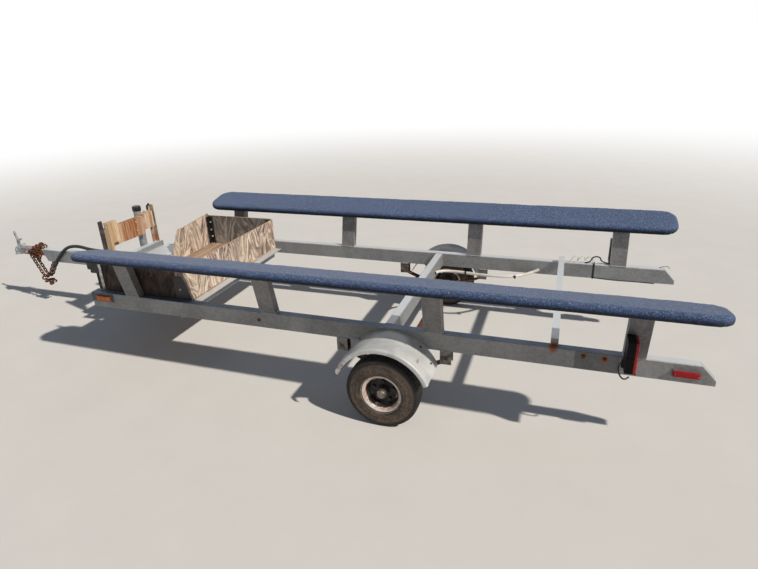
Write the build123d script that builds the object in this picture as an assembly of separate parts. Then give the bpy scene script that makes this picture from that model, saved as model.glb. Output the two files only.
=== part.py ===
# Small boat trailer with two carpeted bunks on splayed posts, a plywood bin and a tongue jack.
# Millimetres. X runs forward to the coupler, Y to the trailer's left, Z up from the ground.
# Stations along X are measured from the axle; the saved parts are moved so that the origin
# is on the ground below the middle of the whole trailer.

import math
import os

from build123d import *

# Frame tubes
tube_height = 101.6
tube_width = 50.8
rail_length = 3658.0
rail_front_x = 2092.0
rail_outer_y = 660.4
rail_bottom_z = 394.0
rail_tail_cut = 69.0
rail_tail_nose = 28.0
tube_edge = 4.0

# Cross-members, stations of their front faces
front_member_x = 2092.0
axle_member_x = 53.0
bin_angle_x = 1442.0
bin_angle_leg = 76.0
bin_angle_thick = 5.0
rear_bar_x = -827.0
rear_bar_size = 38.1
rear_bar_lap = 20.0

# Posts and bunks
post_length = 101.6
post_stations = [1755.0, 766.0, -230.0, -1212.0]
post_lean = 12.8
post_plate = 6.0
post_plate_width = 130.0
bunk_length = 3560.0
bunk_front_x = 2012.0
bunk_width = 282.0
bunk_thickness = 50.0
bunk_tilt = 12.4
bunk_mid_y = 728.0
bunk_mid_z = 784.0
bunk_edge_chamfer = 15.0
bunk_under_chamfer = 9.0
bunk_corner_radius = 100.0

# Tongue
tongue_width = 63.5
tongue_wall = 5.0
tongue_front_x = 3213.0
tongue_front_slant = 49.0
inner_size = 50.8
inner_front_x = 3440.0
inner_engaged = 300.0
slide_gap = 0.3

# Coupler
coupler_neck = 150.0
coupler_plate = 4.0
coupler_gap = 0.3
coupler_ball_radius = 25.4
coupler_dome_radius = 36.0
coupler_lip = 34.0
coupler_ball_drop = 4.0
coupler_rim_reach = 4.0
coupler_rim_height = 6.0
latch_width = 14.0
latch_back = 8.0
# Forward of the pivot, above the coupler's neck
latch_outline = [(-14, 0), (14, 0), (9, 52), (20, 128), (8, 133), (-6, 58), (-46, 74), (-50, 64), (-10, 42)]

# Plywood bin
ply = 12.0
floor_z = 430.0
bin_seat = 22.0
bin_side_top_z = 684.0
bin_rear_top_z = 676.0
bin_wall_lap = 27.0
bin_front_left_y = 380.0
bin_front_left_top_z = 600.0
# Free edge of the right front panel, across from the middle and up from the ground
bin_front_edge = [(-105, 496), (-125, 556), (-198, 675), (-260, 672)]
bin_front_corner_z = 700.0
floor_gap = 0.3
corner_leg = 40.0
corner_thick = 4.0
ledge_leg = 30.0
ledge_thick = 3.0
gusset_thick = 5.0
gusset_top_z = 650.0
gusset_top_width = 65.0
gusset_foot_width = 115.0
gusset_lap = 25.0

# Bow stop
stop_bar_size = 50.8
stop_bar_x = 2330.0
stop_half_width = 292.0
stop_upright_y = 262.0
stop_upright_leg = 40.0
stop_upright_flange = 30.0
stop_upright_thick = 5.0
stop_top_z = 848.0
stop_board_height = 140.0
stop_board_thick = 38.0
stop_board_top_z = 792.0
stop_board_right_y = -130.0
stop_block_right_y = -240.0
stop_block_height = 123.0
stop_block_top_z = 803.0
stop_cleat_width = 89.0
stop_cleat_outer_y = 257.0
stop_cleat_top_z = 842.0
stop_cleat_bottom_z = 640.0
stop_cleat_face_z = 688.0
stop_cleat_strip = 22.0
stop_hook_thick = 6.0
# Inward of the right upright's web and up from its top
stop_hook_outline = [
    (0, 12), (14, 12), (30, -4), (38, -30), (30, -38), (22, -32), (20, -10), (8, -2), (0, -2),
]
bow_plate_thick = 6.0
bow_plate_half_width = 360.0
bow_plate_lap = 32.0
bow_plate_corner = 60.0
bow_plate_hole_radius = 14.0
bow_plate_hole_inset = 50.0

# Bracket between the bin's left wall and the bunk's front end
bracket_thick = 5.0
bracket_bottom_z = 612.0
bracket_reach = 62.0
bracket_step = 22.0
bracket_gap = 0.3

# Wheels, axle and springs
tyre_radius = 205.0
tyre_width = 122.0
tyre_bulge = 22.0
tyre_shoulder = 20.0
rim_flange_radius = 116.5
rim_seat_radius = 100.8
rim_well_radius = 82.0
rim_width = 110.0
rim_sheet = 3.5
wheel_mid_y = 819.0
disc_thick = 4.0
disc_notches = 5
disc_notch_radius = 22.0
rim_flange_depth = 8.0
rim_well_inset = 30.0
rim_taper = 14.0
lug_circle = 114.3
lug_count = 5
lug_radius = 10.5
lug_length = 16.0
hub_flange_radius = 72.0
hub_flange_thick = 10.0
hub_barrel_radius = 32.0
hub_inner_reach = 60.0
hub_outer_reach = 34.0
cap_radius = 25.0
cap_length = 26.0
cap_chamfer = 6.0
spindle_radius = 12.7
spindle_end_gap = 2.0
bearing_gap = 0.3
axle_radius = 22.2
spring_half_span = 300.0
spring_eye_z = 340.0
spring_width = 44.5
leaf_thick = 7.0
leaf_count = 3
leaf_step = 85.0
spring_seat = 9.0
eye_radius = 15.0
spring_pin_radius = 7.0
pin_gap = 0.3
pin_head = 8.0
pin_head_radius = 11.0
hanger_plate = 5.0
hanger_gap = 0.5
hanger_length = 62.0
hanger_drop = 24.0
clamp_plate = 8.0
clamp_length = 96.0
clamp_width = 76.0
clamp_gap = 0.3
u_bolt_radius = 5.0
u_bolt_gap = 1.0
seat_half_length = 21.0

# Fenders
fender_radius = 280.0
fender_sheet = 2.0
fender_outer_y = 890.0
fender_start = 22.0
fender_end = 158.0
fender_skirt = 26.0
strap_foot = 60.0
strap_gap = 0.3
strap_angles = [52.0, 128.0]
strap_width = 32.0
strap_thick = 5.0

# Lamps
lamp_count = 2
lamp_depth = 50.0
lamp_width = 92.0
lamp_height = 76.0
lamp_gap = 3.0
lamp_lens = 14.0
lamp_x = -1158.0
lamp_inner_y = 700.0
lamp_shelf_z = 482.0
shelf_thick = 4.0
shelf_flange = 46.0
lamp_link_inset = 20.0
lens_chamfer = 5.0
marker_rear_inset = 128.0
marker_front_inset = 105.0
marker_rear_mid_z = 445.0
marker_front_mid_z = 465.0
marker_length = 112.0
marker_height = 30.0
marker_depth = 14.0
marker_chamfer = 4.0
marker_base_depth = 8.0
marker_base_chamfer = 5.0
marker_rear_base_length = 118.0
marker_rear_base_height = 35.0
marker_front_base_length = 172.0
marker_front_base_height = 58.0
marker_front_base_inset = 86.0

# Jack
jack_x = 2362.0
jack_y = -163.0
jack_tube_radius = 28.5
jack_tube_wall = 3.2
jack_tube_bottom_z = 300.0
jack_tube_top_z = 822.0
jack_cap_radius = 33.0
jack_cap_height = 38.0
jack_cap_chamfer = 7.0
jack_tube_lid = 6.0
jack_leg_gap = 0.8
jack_leg_top_z = 520.0
jack_foot_size = 120.0
jack_foot_thick = 6.0
jack_plate = 8.0
jack_bracket_length = 96.0
jack_bracket_height = 80.0
jack_web_length = 40.0
jack_web_inset = 12.0
crank_radius = 6.0
crank_drop = 30.0
crank_shaft = 40.0
crank_arm = 110.0
crank_arm_width = 16.0
crank_arm_thick = 6.0
crank_arm_end = 11.0
crank_grip = 90.0
crank_grip_radius = 10.0

# Safety chains, each one a loop from an eye behind to an eye at the coupler
link_length = 36.9
link_width = 26.0
link_wire = 6.0
link_slack = 0.8
link_chamfer = 7.0
chain_y = 18.0
chain_rear_x = 3180.0
chain_front_x = 3412.0
chain_bottom_x = 3305.0
chain_bottom_z = 205.0
chain_bend_radius = 42.0
eye_wire_radius = 2.4
eye_half_length = 13.0
eye_drop = 16.0
eye_to_first_link = 4.6

# Loose wiring lead, from a strain relief on the tongue to its plug
lead_diameter = 26.0
lead_points = [
    (2615, 0, 516),
    (2740, 0, 516),
    (2875, 24, 556),
    (2994, 46, 526),
    (3088, 56, 414),
]
lead_run_share = 0.45
relief_length = 40.0
relief_width = 40.0
relief_height = 38.0
plug_radius = 17.0
plug_length = 50.0

# Worked out from the sizes above
rail_top_z = rail_bottom_z + tube_height
rail_rear_x = rail_front_x - rail_length
rail_inner_y = rail_outer_y - tube_width
rail_mid_y = rail_outer_y - tube_width / 2
tongue_rear_x = bin_angle_x
bin_rear_x = tongue_rear_x - bin_seat
front_face_x = front_member_x - tube_width
ball_x = inner_front_x + coupler_neck / 2 + coupler_dome_radius
coupler_nose_x = ball_x + coupler_dome_radius
inner_top_z = rail_top_z - tongue_wall
origin_x = (coupler_nose_x + rail_rear_x) / 2

sides = {"left": 1, "right": -1}
parts = {}


def block(x0, x1, y0, y1, z0, z1):
    """Box between two corners, given in any order."""
    x_low, x_high = sorted((x0, x1))
    y_low, y_high = sorted((y0, y1))
    z_low, z_high = sorted((z0, z1))
    size = Box(x_high - x_low, y_high - y_low, z_high - z_low)
    return Pos((x_low + x_high) / 2, (y_low + y_high) / 2, (z_low + z_high) / 2) * size


def rod_y(x, z, radius, y0, y1):
    """Round bar across the trailer."""
    middle = (y0 + y1) / 2
    return Pos(x, middle, z) * Rot(90, 0, 0) * Cylinder(radius, abs(y1 - y0))


def rod_z(x, y, radius, z0, z1):
    """Upright round bar."""
    return Pos(x, y, (z0 + z1) / 2) * Cylinder(radius, abs(z1 - z0))


def slab_xz(points, y0, y1):
    """Outline drawn in X and Z, made solid between two Y planes."""
    y_low, y_high = sorted((y0, y1))
    outline = make_face(Polyline(*[(x, 0, z) for x, z in points], close=True))
    return Pos(0, y_low, 0) * extrude(outline, amount=y_high - y_low, dir=(0, 1, 0))


def slab_yz(points, x0, x1):
    """Outline drawn in Y and Z, made solid between two X planes."""
    x_low, x_high = sorted((x0, x1))
    outline = make_face(Polyline(*[(0, y, z) for y, z in points], close=True))
    return Pos(x_low, 0, 0) * extrude(outline, amount=x_high - x_low, dir=(1, 0, 0))


def turned(points, y_middle, z_middle, x_middle=0.0):
    """Profile of (radius, distance outward along Y), turned about a lateral axis."""
    outline = make_face(Polyline(*[(r, a, 0) for r, a in points], close=True))
    solid = revolve(outline, axis=Axis.Y)
    return Pos(x_middle, y_middle, z_middle) * solid


def other_side(shape):
    """The same piece on the trailer's right."""
    return mirror(shape, about=Plane.XZ)


def on_side(shape, side):
    return shape if side == "left" else other_side(shape)


def save(name, shape):
    """Keep a piece, moved to the trailer's own origin."""
    parts[name] = Pos(-origin_x, 0, 0) * shape


def rails():
    tail = [
        (rail_front_x, rail_bottom_z),
        (rail_front_x, rail_top_z),
        (rail_rear_x + rail_tail_cut, rail_top_z),
        (rail_rear_x, rail_bottom_z + rail_tail_nose),
        (rail_rear_x, rail_bottom_z),
    ]
    rail = slab_xz(tail, rail_inner_y, rail_outer_y)
    rail = chamfer(rail.edges().filter_by(Axis.X), tube_edge)
    for side in sides:
        save(f"rail_{side}", on_side(rail, side))


def cross_members():
    for name, x in (("crossmember_front", front_member_x), ("crossmember_axle", axle_member_x)):
        member = block(x - tube_width, x, -rail_inner_y, rail_inner_y, rail_bottom_z, rail_top_z)
        member = chamfer(member.edges().filter_by(Axis.Y), tube_edge)
        save(name, member - tongue_way(x) if x > tongue_rear_x else member)
    y = rail_inner_y
    ledge = block(bin_angle_x - bin_angle_leg, bin_angle_x, -y, y, floor_z - bin_angle_thick, floor_z)
    web = block(bin_angle_x - bin_angle_thick, bin_angle_x, -y, y, floor_z - bin_angle_leg, floor_z)
    save("crossmember_bin", ledge + web)
    reach = rail_inner_y + rear_bar_lap
    bar_top = rail_top_z + rear_bar_size
    save("rear_bar", block(rear_bar_x - rear_bar_size, rear_bar_x, -reach, reach, rail_top_z, bar_top))


def tongue_way(x):
    """Room for the tongue, which runs through the front member."""
    half = tongue_width / 2
    return block(x - tube_width, x, -half, half, rail_bottom_z, rail_top_z)


def bunk_point(across, up):
    """A place on the left bunk's section, as (Y, Z), from its middle."""
    tilt = math.radians(bunk_tilt)
    y = bunk_mid_y + across * math.cos(tilt) - up * math.sin(tilt)
    z = bunk_mid_z + across * math.sin(tilt) + up * math.cos(tilt)
    return y, z


def post_at_height_of_plate(foot_y):
    """Where a line up the post from the rail's top meets the underside of the bunk's plate."""
    under = -bunk_thickness / 2 - post_plate
    base_y, base_z = bunk_point(0, under)
    slope = math.tan(math.radians(bunk_tilt))
    lean = math.tan(math.radians(post_lean))
    rise = (base_z - rail_top_z + (foot_y - base_y) * slope) / (1 - lean * slope)
    return foot_y + lean * rise, rail_top_z + rise


def posts():
    shaft = [
        (rail_inner_y, rail_top_z),
        (rail_outer_y, rail_top_z),
        post_at_height_of_plate(rail_outer_y),
        post_at_height_of_plate(rail_inner_y),
    ]
    middle_y, middle_z = post_at_height_of_plate(rail_mid_y)
    along = (middle_y - bunk_point(0, 0)[0]) / math.cos(math.radians(bunk_tilt))
    under = -bunk_thickness / 2
    plate = [
        bunk_point(along - post_plate_width / 2, under - post_plate),
        bunk_point(along + post_plate_width / 2, under - post_plate),
        bunk_point(along + post_plate_width / 2, under),
        bunk_point(along - post_plate_width / 2, under),
    ]
    posts = []
    for x in post_stations:
        x0 = x - post_length / 2
        x1 = x + post_length / 2
        posts.append((slab_yz(shaft, x0, x1) + slab_yz(plate, x0, x1)).solid())
    for side in sides:
        save(f"posts_{side}", Compound([on_side(post, side).solid() for post in posts]))


def bunks():
    board = Box(bunk_length, bunk_width, bunk_thickness)
    board = fillet(board.edges().filter_by(Axis.Z), bunk_corner_radius)
    board = chamfer(board.faces().sort_by(Axis.Z)[-1].edges(), bunk_edge_chamfer)
    board = chamfer(board.faces().sort_by(Axis.Z)[0].edges(), bunk_under_chamfer)
    bunk_x = bunk_front_x - bunk_length / 2
    bunk = Pos(bunk_x, bunk_mid_y, bunk_mid_z) * Rot(bunk_tilt, 0, 0) * board
    for side in sides:
        save(f"bunk_{side}", on_side(bunk, side))


def tongue():
    half = tongue_width / 2
    outline = [
        (tongue_rear_x, rail_bottom_z),
        (tongue_front_x, rail_bottom_z),
        (tongue_front_x + tongue_front_slant, rail_top_z),
        (tongue_rear_x, rail_top_z),
    ]
    mouth = block(
        tongue_front_x - inner_engaged,
        tongue_front_x + tongue_front_slant,
        -half + tongue_wall,
        half - tongue_wall,
        rail_bottom_z + tongue_wall,
        rail_top_z - tongue_wall,
    )
    tube = slab_xz(outline, -half, half)
    save("tongue_outer", chamfer(tube.edges().filter_by(Axis.X), tube_edge) - mouth)
    inner_rear = tongue_front_x - inner_engaged + slide_gap
    side = inner_size / 2
    save("tongue_inner", block(inner_rear, inner_front_x, -side, side, inner_top_z - inner_size, inner_top_z))


def coupler():
    side = inner_size / 2 + coupler_gap
    neck_rear = inner_front_x - coupler_neck / 2
    outer_side = side + coupler_plate
    bottom = inner_top_z - inner_size
    skin_top = inner_top_z + coupler_gap + coupler_plate
    neck = block(neck_rear, ball_x, -outer_side, outer_side, bottom, skin_top)
    neck = chamfer(neck.edges().filter_by(Axis.X).group_by(Axis.Z)[-1], coupler_plate)
    neck -= block(neck_rear, ball_x, -side, side, bottom, inner_top_z + coupler_gap)
    dome_z = inner_top_z - inner_size / 2
    dome = Pos(ball_x, 0, dome_z) * Sphere(coupler_dome_radius)
    lip_z = dome_z - coupler_lip
    lip = rod_z(ball_x, 0, coupler_dome_radius, lip_z, dome_z)
    lip += rod_z(ball_x, 0, coupler_dome_radius + coupler_rim_reach, lip_z, lip_z + coupler_rim_height)
    ball_z = dome_z - coupler_ball_drop
    socket = Pos(ball_x, 0, ball_z) * Sphere(coupler_ball_radius)
    socket += rod_z(ball_x, 0, coupler_ball_radius, dome_z - coupler_dome_radius, ball_z)
    save("coupler_body", neck + dome + lip - socket)

    pivot_x = ball_x - latch_back
    lever = [(pivot_x + forward, skin_top + up) for forward, up in latch_outline]
    half = latch_width / 2
    save("coupler_latch", slab_xz(lever, -half, half) - dome)


def plywood_bin():
    """Two floor boards beside the tongue, walls that stand on them, and the steel that holds them."""
    wall_y = rail_inner_y - ply
    floor_top = floor_z + ply
    floor_front_x = front_face_x
    tongue_side = tongue_width / 2 + floor_gap
    board = block(bin_rear_x, floor_front_x, tongue_side, rail_inner_y, floor_z, floor_top)
    board -= block(bin_rear_x, tongue_rear_x, 0, tongue_side, floor_z, floor_top)
    save("bin_floor", Compound([on_side(board, side).solid() for side in sides]))

    wall_rear_x = bin_rear_x + ply
    rear_wall = block(bin_rear_x, wall_rear_x, -rail_inner_y, rail_inner_y, floor_top, bin_rear_top_z)
    save("bin_wall_rear", rear_wall)
    outline = [
        (wall_rear_x, floor_top),
        (front_face_x, floor_top),
        (front_face_x, rail_top_z),
        (front_face_x + bin_wall_lap, rail_top_z),
        (front_face_x + bin_wall_lap, bin_side_top_z),
        (wall_rear_x, bin_side_top_z),
    ]
    for side in sides:
        save(f"bin_wall_{side}", on_side(slab_xz(outline, wall_y, rail_inner_y), side))

    panel_x = front_face_x - ply
    right = [(-wall_y, floor_top), (bin_front_edge[0][0], floor_top)] + bin_front_edge
    right.append((-wall_y, bin_front_corner_z))
    right_panel = slab_yz(right, panel_x, front_face_x)
    left_panel = block(panel_x, front_face_x, bin_front_left_y, wall_y, floor_top, bin_front_left_top_z)
    save("bin_wall_front", Compound([right_panel.solid(), left_panel.solid()]))

    angles = []
    for x, away in ((wall_rear_x, 1), (panel_x, -1)):
        for side in (1, -1):
            inner = side * wall_y
            top = bin_rear_top_z if away > 0 or side < 0 else bin_front_left_top_z
            along = block(x, x + away * corner_leg, inner - side * corner_thick, inner, floor_top, top)
            across = block(x, x + away * corner_thick, inner - side * corner_leg, inner, floor_top, top)
            angles.append((along + across).solid())
    save("bin_corner_angles", Compound(angles))

    y = rail_inner_y
    ledge = block(front_face_x - ledge_leg, front_face_x, tongue_side, y, floor_z - ledge_thick, floor_z)
    ledge += block(front_face_x - ledge_thick, front_face_x, tongue_side, y, floor_z - ledge_leg, floor_z)
    save("bin_ledges", Compound([on_side(ledge, side).solid() for side in sides]))

    gusset_front_x = bin_rear_x + gusset_lap
    gusset = [
        (gusset_front_x, rail_top_z),
        (gusset_front_x, gusset_top_z),
        (gusset_front_x - gusset_top_width, gusset_top_z),
        (gusset_front_x - gusset_foot_width, rail_top_z),
    ]
    save("bin_gussets", slab_xz(gusset, rail_inner_y, rail_inner_y + gusset_thick))


def bunk_brackets():
    """Plate from the bin's left wall up to the bunk's underside."""
    rear_x = front_face_x
    front_x = front_face_x + bin_wall_lap + bracket_reach
    y = rail_inner_y + bracket_thick
    under = -bunk_thickness / 2 - bracket_gap
    slope = math.tan(math.radians(bunk_tilt))
    edge_y, edge_z = bunk_point(0, under)
    top = edge_z + (rail_inner_y - edge_y) * slope
    outline = [
        (rear_x, bracket_bottom_z),
        (front_x - bracket_step, bracket_bottom_z),
        (front_x - bracket_step, bracket_bottom_z + bracket_step),
        (front_x, bracket_bottom_z + bracket_step),
        (front_x, top),
        (rear_x, top),
    ]
    save("bunk_brackets", slab_xz(outline, rail_inner_y, y))


def bow_stop():
    x1 = stop_bar_x
    x0 = x1 - stop_bar_size
    bar_top = rail_top_z + stop_bar_size
    save("stop_bar", block(x0, x1, -stop_half_width, stop_half_width, rail_top_z, bar_top))
    uprights = []
    for side in (1, -1):
        y_out = side * (stop_upright_y + stop_upright_thick)
        y_in = side * stop_upright_y
        web = block(x1 - stop_upright_leg, x1, y_in, y_out, bar_top, stop_top_z)
        flange_x = x1 - stop_upright_thick
        flange = block(flange_x, x1, y_in - side * stop_upright_flange, y_in, bar_top, stop_top_z)
        uprights.append((web + flange).solid())
    save("stop_uprights", Compound(uprights))
    board_front = x1 - stop_upright_thick
    board_rear = board_front - stop_board_thick
    boards = []
    for y0, y1, height, top in (
        (stop_board_right_y, stop_upright_y, stop_board_height, stop_board_top_z),
        (stop_block_right_y, stop_board_right_y, stop_block_height, stop_block_top_z),
    ):
        boards.append(block(board_rear, board_front, y0, y1, top - height, top).solid())
    save("stop_board", Compound(boards))
    cleat_y = stop_cleat_outer_y - stop_cleat_width
    strip_y = stop_cleat_outer_y - stop_cleat_strip
    cleat_rear = board_rear - stop_board_thick
    y1 = stop_cleat_outer_y
    cleat = block(cleat_rear, board_rear, cleat_y, y1, stop_cleat_face_z, stop_cleat_top_z)
    cleat += block(cleat_rear, board_rear, strip_y, y1, stop_cleat_bottom_z, stop_cleat_face_z)
    save("stop_cleat", cleat)
    hook = [(inward - stop_upright_y, stop_top_z + up) for inward, up in stop_hook_outline]
    save("stop_hook", slab_yz(hook, board_front - stop_hook_thick, board_front))

    plate_rear_x = front_member_x - bow_plate_lap
    plate_top = rail_top_z + bow_plate_thick
    half = bow_plate_half_width
    plate = block(plate_rear_x, x0, -half, half, rail_top_z, plate_top)
    plate = chamfer(plate.edges().filter_by(Axis.Z).group_by(Axis.X)[0], bow_plate_corner)
    hole_x = x0 - bow_plate_hole_inset
    for side in (1, -1):
        hole_y = side * (half - bow_plate_hole_inset)
        plate -= rod_z(hole_x, hole_y, bow_plate_hole_radius, rail_top_z, plate_top)
    save("bow_plate", plate)


def rims():
    half = rim_width / 2
    seat = half - rim_flange_depth
    well = half - rim_well_inset
    outer = [
        (rim_flange_radius, half),
        (rim_seat_radius + rim_sheet, seat),
        (rim_seat_radius, seat - rim_taper),
        (rim_well_radius + rim_sheet, well),
    ]
    inner = [(rim_seat_radius - rim_sheet, seat), (rim_well_radius, well - rim_sheet)]
    profile = outer + [(r, -a) for r, a in reversed(outer)]
    profile += [(r, -a) for r, a in inner] + [(r, a) for r, a in reversed(inner)]
    rim = turned(profile, wheel_mid_y, tyre_radius)
    disc_outer_y = wheel_mid_y + disc_thick
    disc = rod_y(0, tyre_radius, rim_well_radius, wheel_mid_y, disc_outer_y)
    disc -= rod_y(0, tyre_radius, hub_barrel_radius + bearing_gap, wheel_mid_y, disc_outer_y)
    for index in range(disc_notches):
        angle = math.radians(90 + (index + 0.5) * 360 / disc_notches)
        x = rim_well_radius * math.cos(angle)
        z = tyre_radius + rim_well_radius * math.sin(angle)
        notch = rod_y(x, z, disc_notch_radius, wheel_mid_y, disc_outer_y)
        disc -= notch & rod_y(0, tyre_radius, rim_well_radius, wheel_mid_y, disc_outer_y)
    rim += disc
    nut = extrude(RegularPolygon(lug_radius, 6), amount=lug_length)
    for index in range(lug_count):
        angle = math.radians(90 + index * 360 / lug_count)
        x = lug_circle / 2 * math.cos(angle)
        z = tyre_radius + lug_circle / 2 * math.sin(angle)
        rim += Pos(x, disc_outer_y, z) * Rot(-90, 0, 0) * nut
    for side in sides:
        save(f"rim_{side}", on_side(rim, side))
    return profile


def tyres(rim_profile):
    half = tyre_width / 2
    bead = rim_width / 2 - rim_flange_depth
    profile = [
        (rim_seat_radius, bead),
        (rim_flange_radius, rim_width / 2),
        (rim_flange_radius + tyre_bulge, half),
        (tyre_radius - tyre_shoulder, half - tyre_shoulder / 2),
        (tyre_radius, half - tyre_shoulder),
    ]
    tyre = turned(profile + [(r, -a) for r, a in reversed(profile)], wheel_mid_y, tyre_radius)
    room = [(0, rim_width / 2)] + rim_profile[: len(rim_profile) - 4] + [(0, -rim_width / 2)]
    tyre -= turned(room, wheel_mid_y, tyre_radius)
    for side in sides:
        save(f"tyre_{side}", on_side(tyre, side))


def hubs():
    bore = spindle_radius + bearing_gap
    cap_end = hub_outer_reach + cap_length
    profile = [
        (bore, -hub_inner_reach),
        (hub_barrel_radius, -hub_inner_reach),
        (hub_barrel_radius, -hub_flange_thick),
        (hub_flange_radius, -hub_flange_thick),
        (hub_flange_radius, 0),
        (hub_barrel_radius, 0),
        (hub_barrel_radius, hub_outer_reach),
        (cap_radius, hub_outer_reach),
        (cap_radius, cap_end - cap_chamfer),
        (cap_radius - cap_chamfer, cap_end),
        (0, cap_end),
        (0, hub_outer_reach),
        (bore, hub_outer_reach),
    ]
    hub = turned(profile, wheel_mid_y, tyre_radius)
    for side in sides:
        save(f"hub_{side}", on_side(hub, side))


def axle():
    tube_end = wheel_mid_y - hub_inner_reach - spindle_end_gap
    spindle_end = wheel_mid_y + hub_outer_reach - spindle_end_gap
    beam = rod_y(0, tyre_radius, axle_radius, -tube_end, tube_end)
    beam += rod_y(0, tyre_radius, spindle_radius, -spindle_end, spindle_end)
    save("axle_beam", beam)


def springs():
    """Leaf packs above the axle, each between two hangers, held by a clamp with four bolts."""
    base_z = tyre_radius + axle_radius + spring_seat
    main_mid_z = base_z + (leaf_count - 0.5) * leaf_thick
    rise = spring_eye_z - eye_radius + leaf_thick / 2 - main_mid_z
    radius = (spring_half_span**2 + rise**2) / (2 * rise)
    centre_z = main_mid_z + radius
    y0 = rail_mid_y - spring_width / 2
    y1 = rail_mid_y + spring_width / 2
    spring = None
    for index in range(leaf_count):
        outer = radius + leaf_thick * (index + 0.5)
        half = spring_half_span - index * leaf_step
        ring = rod_y(0, centre_z, outer, y0, y1) - rod_y(0, centre_z, outer - leaf_thick, y0, y1)
        leaf = ring & block(-half, half, y0, y1, centre_z - 2 * radius, spring_eye_z + eye_radius)
        spring = leaf if spring is None else spring + leaf
    for x in (-spring_half_span, spring_half_span):
        spring += rod_y(x, spring_eye_z, eye_radius, y0, y1)
    for x in (-spring_half_span, spring_half_span):
        spring -= rod_y(x, spring_eye_z, spring_pin_radius + pin_gap, y0, y1)

    hangers = []
    low = spring_eye_z - hanger_drop
    head = extrude(RegularPolygon(pin_head_radius, 6), amount=pin_head)
    for x in (-spring_half_span, spring_half_span):
        x0 = x - hanger_length / 2
        x1 = x + hanger_length / 2
        y_in = y0 - hanger_gap
        y_out = y1 + hanger_gap
        cap = rail_bottom_z - hanger_plate
        hanger = block(x0, x1, y_in - hanger_plate, y_out + hanger_plate, cap, rail_bottom_z)
        hanger += block(x0, x1, y_in - hanger_plate, y_in, low, rail_bottom_z)
        hanger += block(x0, x1, y_out, y_out + hanger_plate, low, rail_bottom_z)
        inner_face = y_in - hanger_plate
        outer_face = y_out + hanger_plate
        hanger += rod_y(x, spring_eye_z, spring_pin_radius, inner_face, outer_face)
        hanger += Pos(x, inner_face, spring_eye_z) * Rot(90, 0, 0) * head
        hanger += Pos(x, outer_face, spring_eye_z) * Rot(-90, 0, 0) * head
        hangers.append(hanger.solid())

    half_l = clamp_length / 2
    half_w = clamp_width / 2
    clamp_rise = radius - math.sqrt(radius**2 - half_l**2)
    top_z = base_z + leaf_count * leaf_thick + clamp_rise + clamp_gap
    low_z = tyre_radius - axle_radius - clamp_plate - clamp_gap
    clamp = block(-half_l, half_l, rail_mid_y - half_w, rail_mid_y + half_w, top_z, top_z + clamp_plate)
    clamp += block(-half_l, half_l, rail_mid_y - half_w, rail_mid_y + half_w, low_z, low_z + clamp_plate)
    for x in (-1, 1):
        for y in (-1, 1):
            bolt_x = x * (axle_radius + u_bolt_radius + u_bolt_gap)
            bolt_y = rail_mid_y + y * (spring_width / 2 + u_bolt_radius + u_bolt_gap)
            clamp += rod_z(bolt_x, bolt_y, u_bolt_radius, low_z + clamp_plate, top_z)
    seat = block(-seat_half_length, seat_half_length, y0, y1, tyre_radius, base_z)
    seat -= rod_y(0, tyre_radius, axle_radius, y0, y1)
    for side in sides:
        save(f"spring_{side}", on_side(spring, side))
        save(f"spring_hangers_{side}", Compound([on_side(hanger, side).solid() for hanger in hangers]))
        save(f"spring_clamp_{side}", on_side(Compound([clamp.solid(), seat.solid()]), side))


def fenders():
    y0 = rail_outer_y
    y1 = fender_outer_y
    z = tyre_radius
    reach = fender_radius * 3
    low = math.radians(fender_start)
    high = math.radians(fender_end)
    wedge = [
        (0, z),
        (reach * math.cos(low), z + reach * math.sin(low)),
        (0, z + reach * 2),
        (reach * math.cos(high), z + reach * math.sin(high)),
    ]
    inner = fender_radius - fender_sheet
    skin = rod_y(0, z, fender_radius, y0, y1) - rod_y(0, z, inner, y0, y1)
    skirt = rod_y(0, z, fender_radius, y1 - fender_sheet, y1)
    skirt -= rod_y(0, z, fender_radius - fender_skirt, y1 - fender_sheet, y1)
    fender = (skin + skirt) & slab_xz(wedge, y0, y1)
    for angle in strap_angles:
        top = inner - strap_gap
        half = strap_width / 2
        strap = block(inner - strap_thick, top, y0, y1 - fender_sheet - strap_gap, -half, half)
        strap += block(inner - strap_foot, top, y0, y0 + strap_thick, -half, half)
        fender += Pos(0, 0, z) * Rot(0, -angle, 0) * strap
    for side in sides:
        save(f"fender_{side}", on_side(fender, side))


def lamps():
    x0 = lamp_x - lamp_depth
    x_lens = x0 + lamp_lens
    y0 = lamp_inner_y
    y1 = y0 + lamp_width
    shelf = block(x0, lamp_x, rail_outer_y, y1, lamp_shelf_z - shelf_thick, lamp_shelf_z)
    foot_z = lamp_shelf_z - shelf_flange
    shelf += block(x0, lamp_x, rail_outer_y, rail_outer_y + shelf_thick, foot_z, lamp_shelf_z)
    housing = shelf
    lenses = []
    for index in range(lamp_count):
        low = lamp_shelf_z + index * (lamp_height + lamp_gap)
        high = low + lamp_height
        housing += block(x_lens, lamp_x, y0, y1, low, high)
        lens = block(x0, x_lens, y0, y1, low, high)
        lenses.append(chamfer(lens.faces().sort_by(Axis.X)[0].edges(), lens_chamfer))
    link_low = lamp_shelf_z + lamp_height
    link_high = link_low + lamp_gap
    housing += block(x_lens, lamp_x, y0 + lamp_link_inset, y1 - lamp_link_inset, link_low, link_high)
    for side in sides:
        save(f"lamp_housing_{side}", on_side(housing, side))
    save("tail_lenses", Compound([on_side(lens, side).solid() for side in sides for lens in lenses]))


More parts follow.
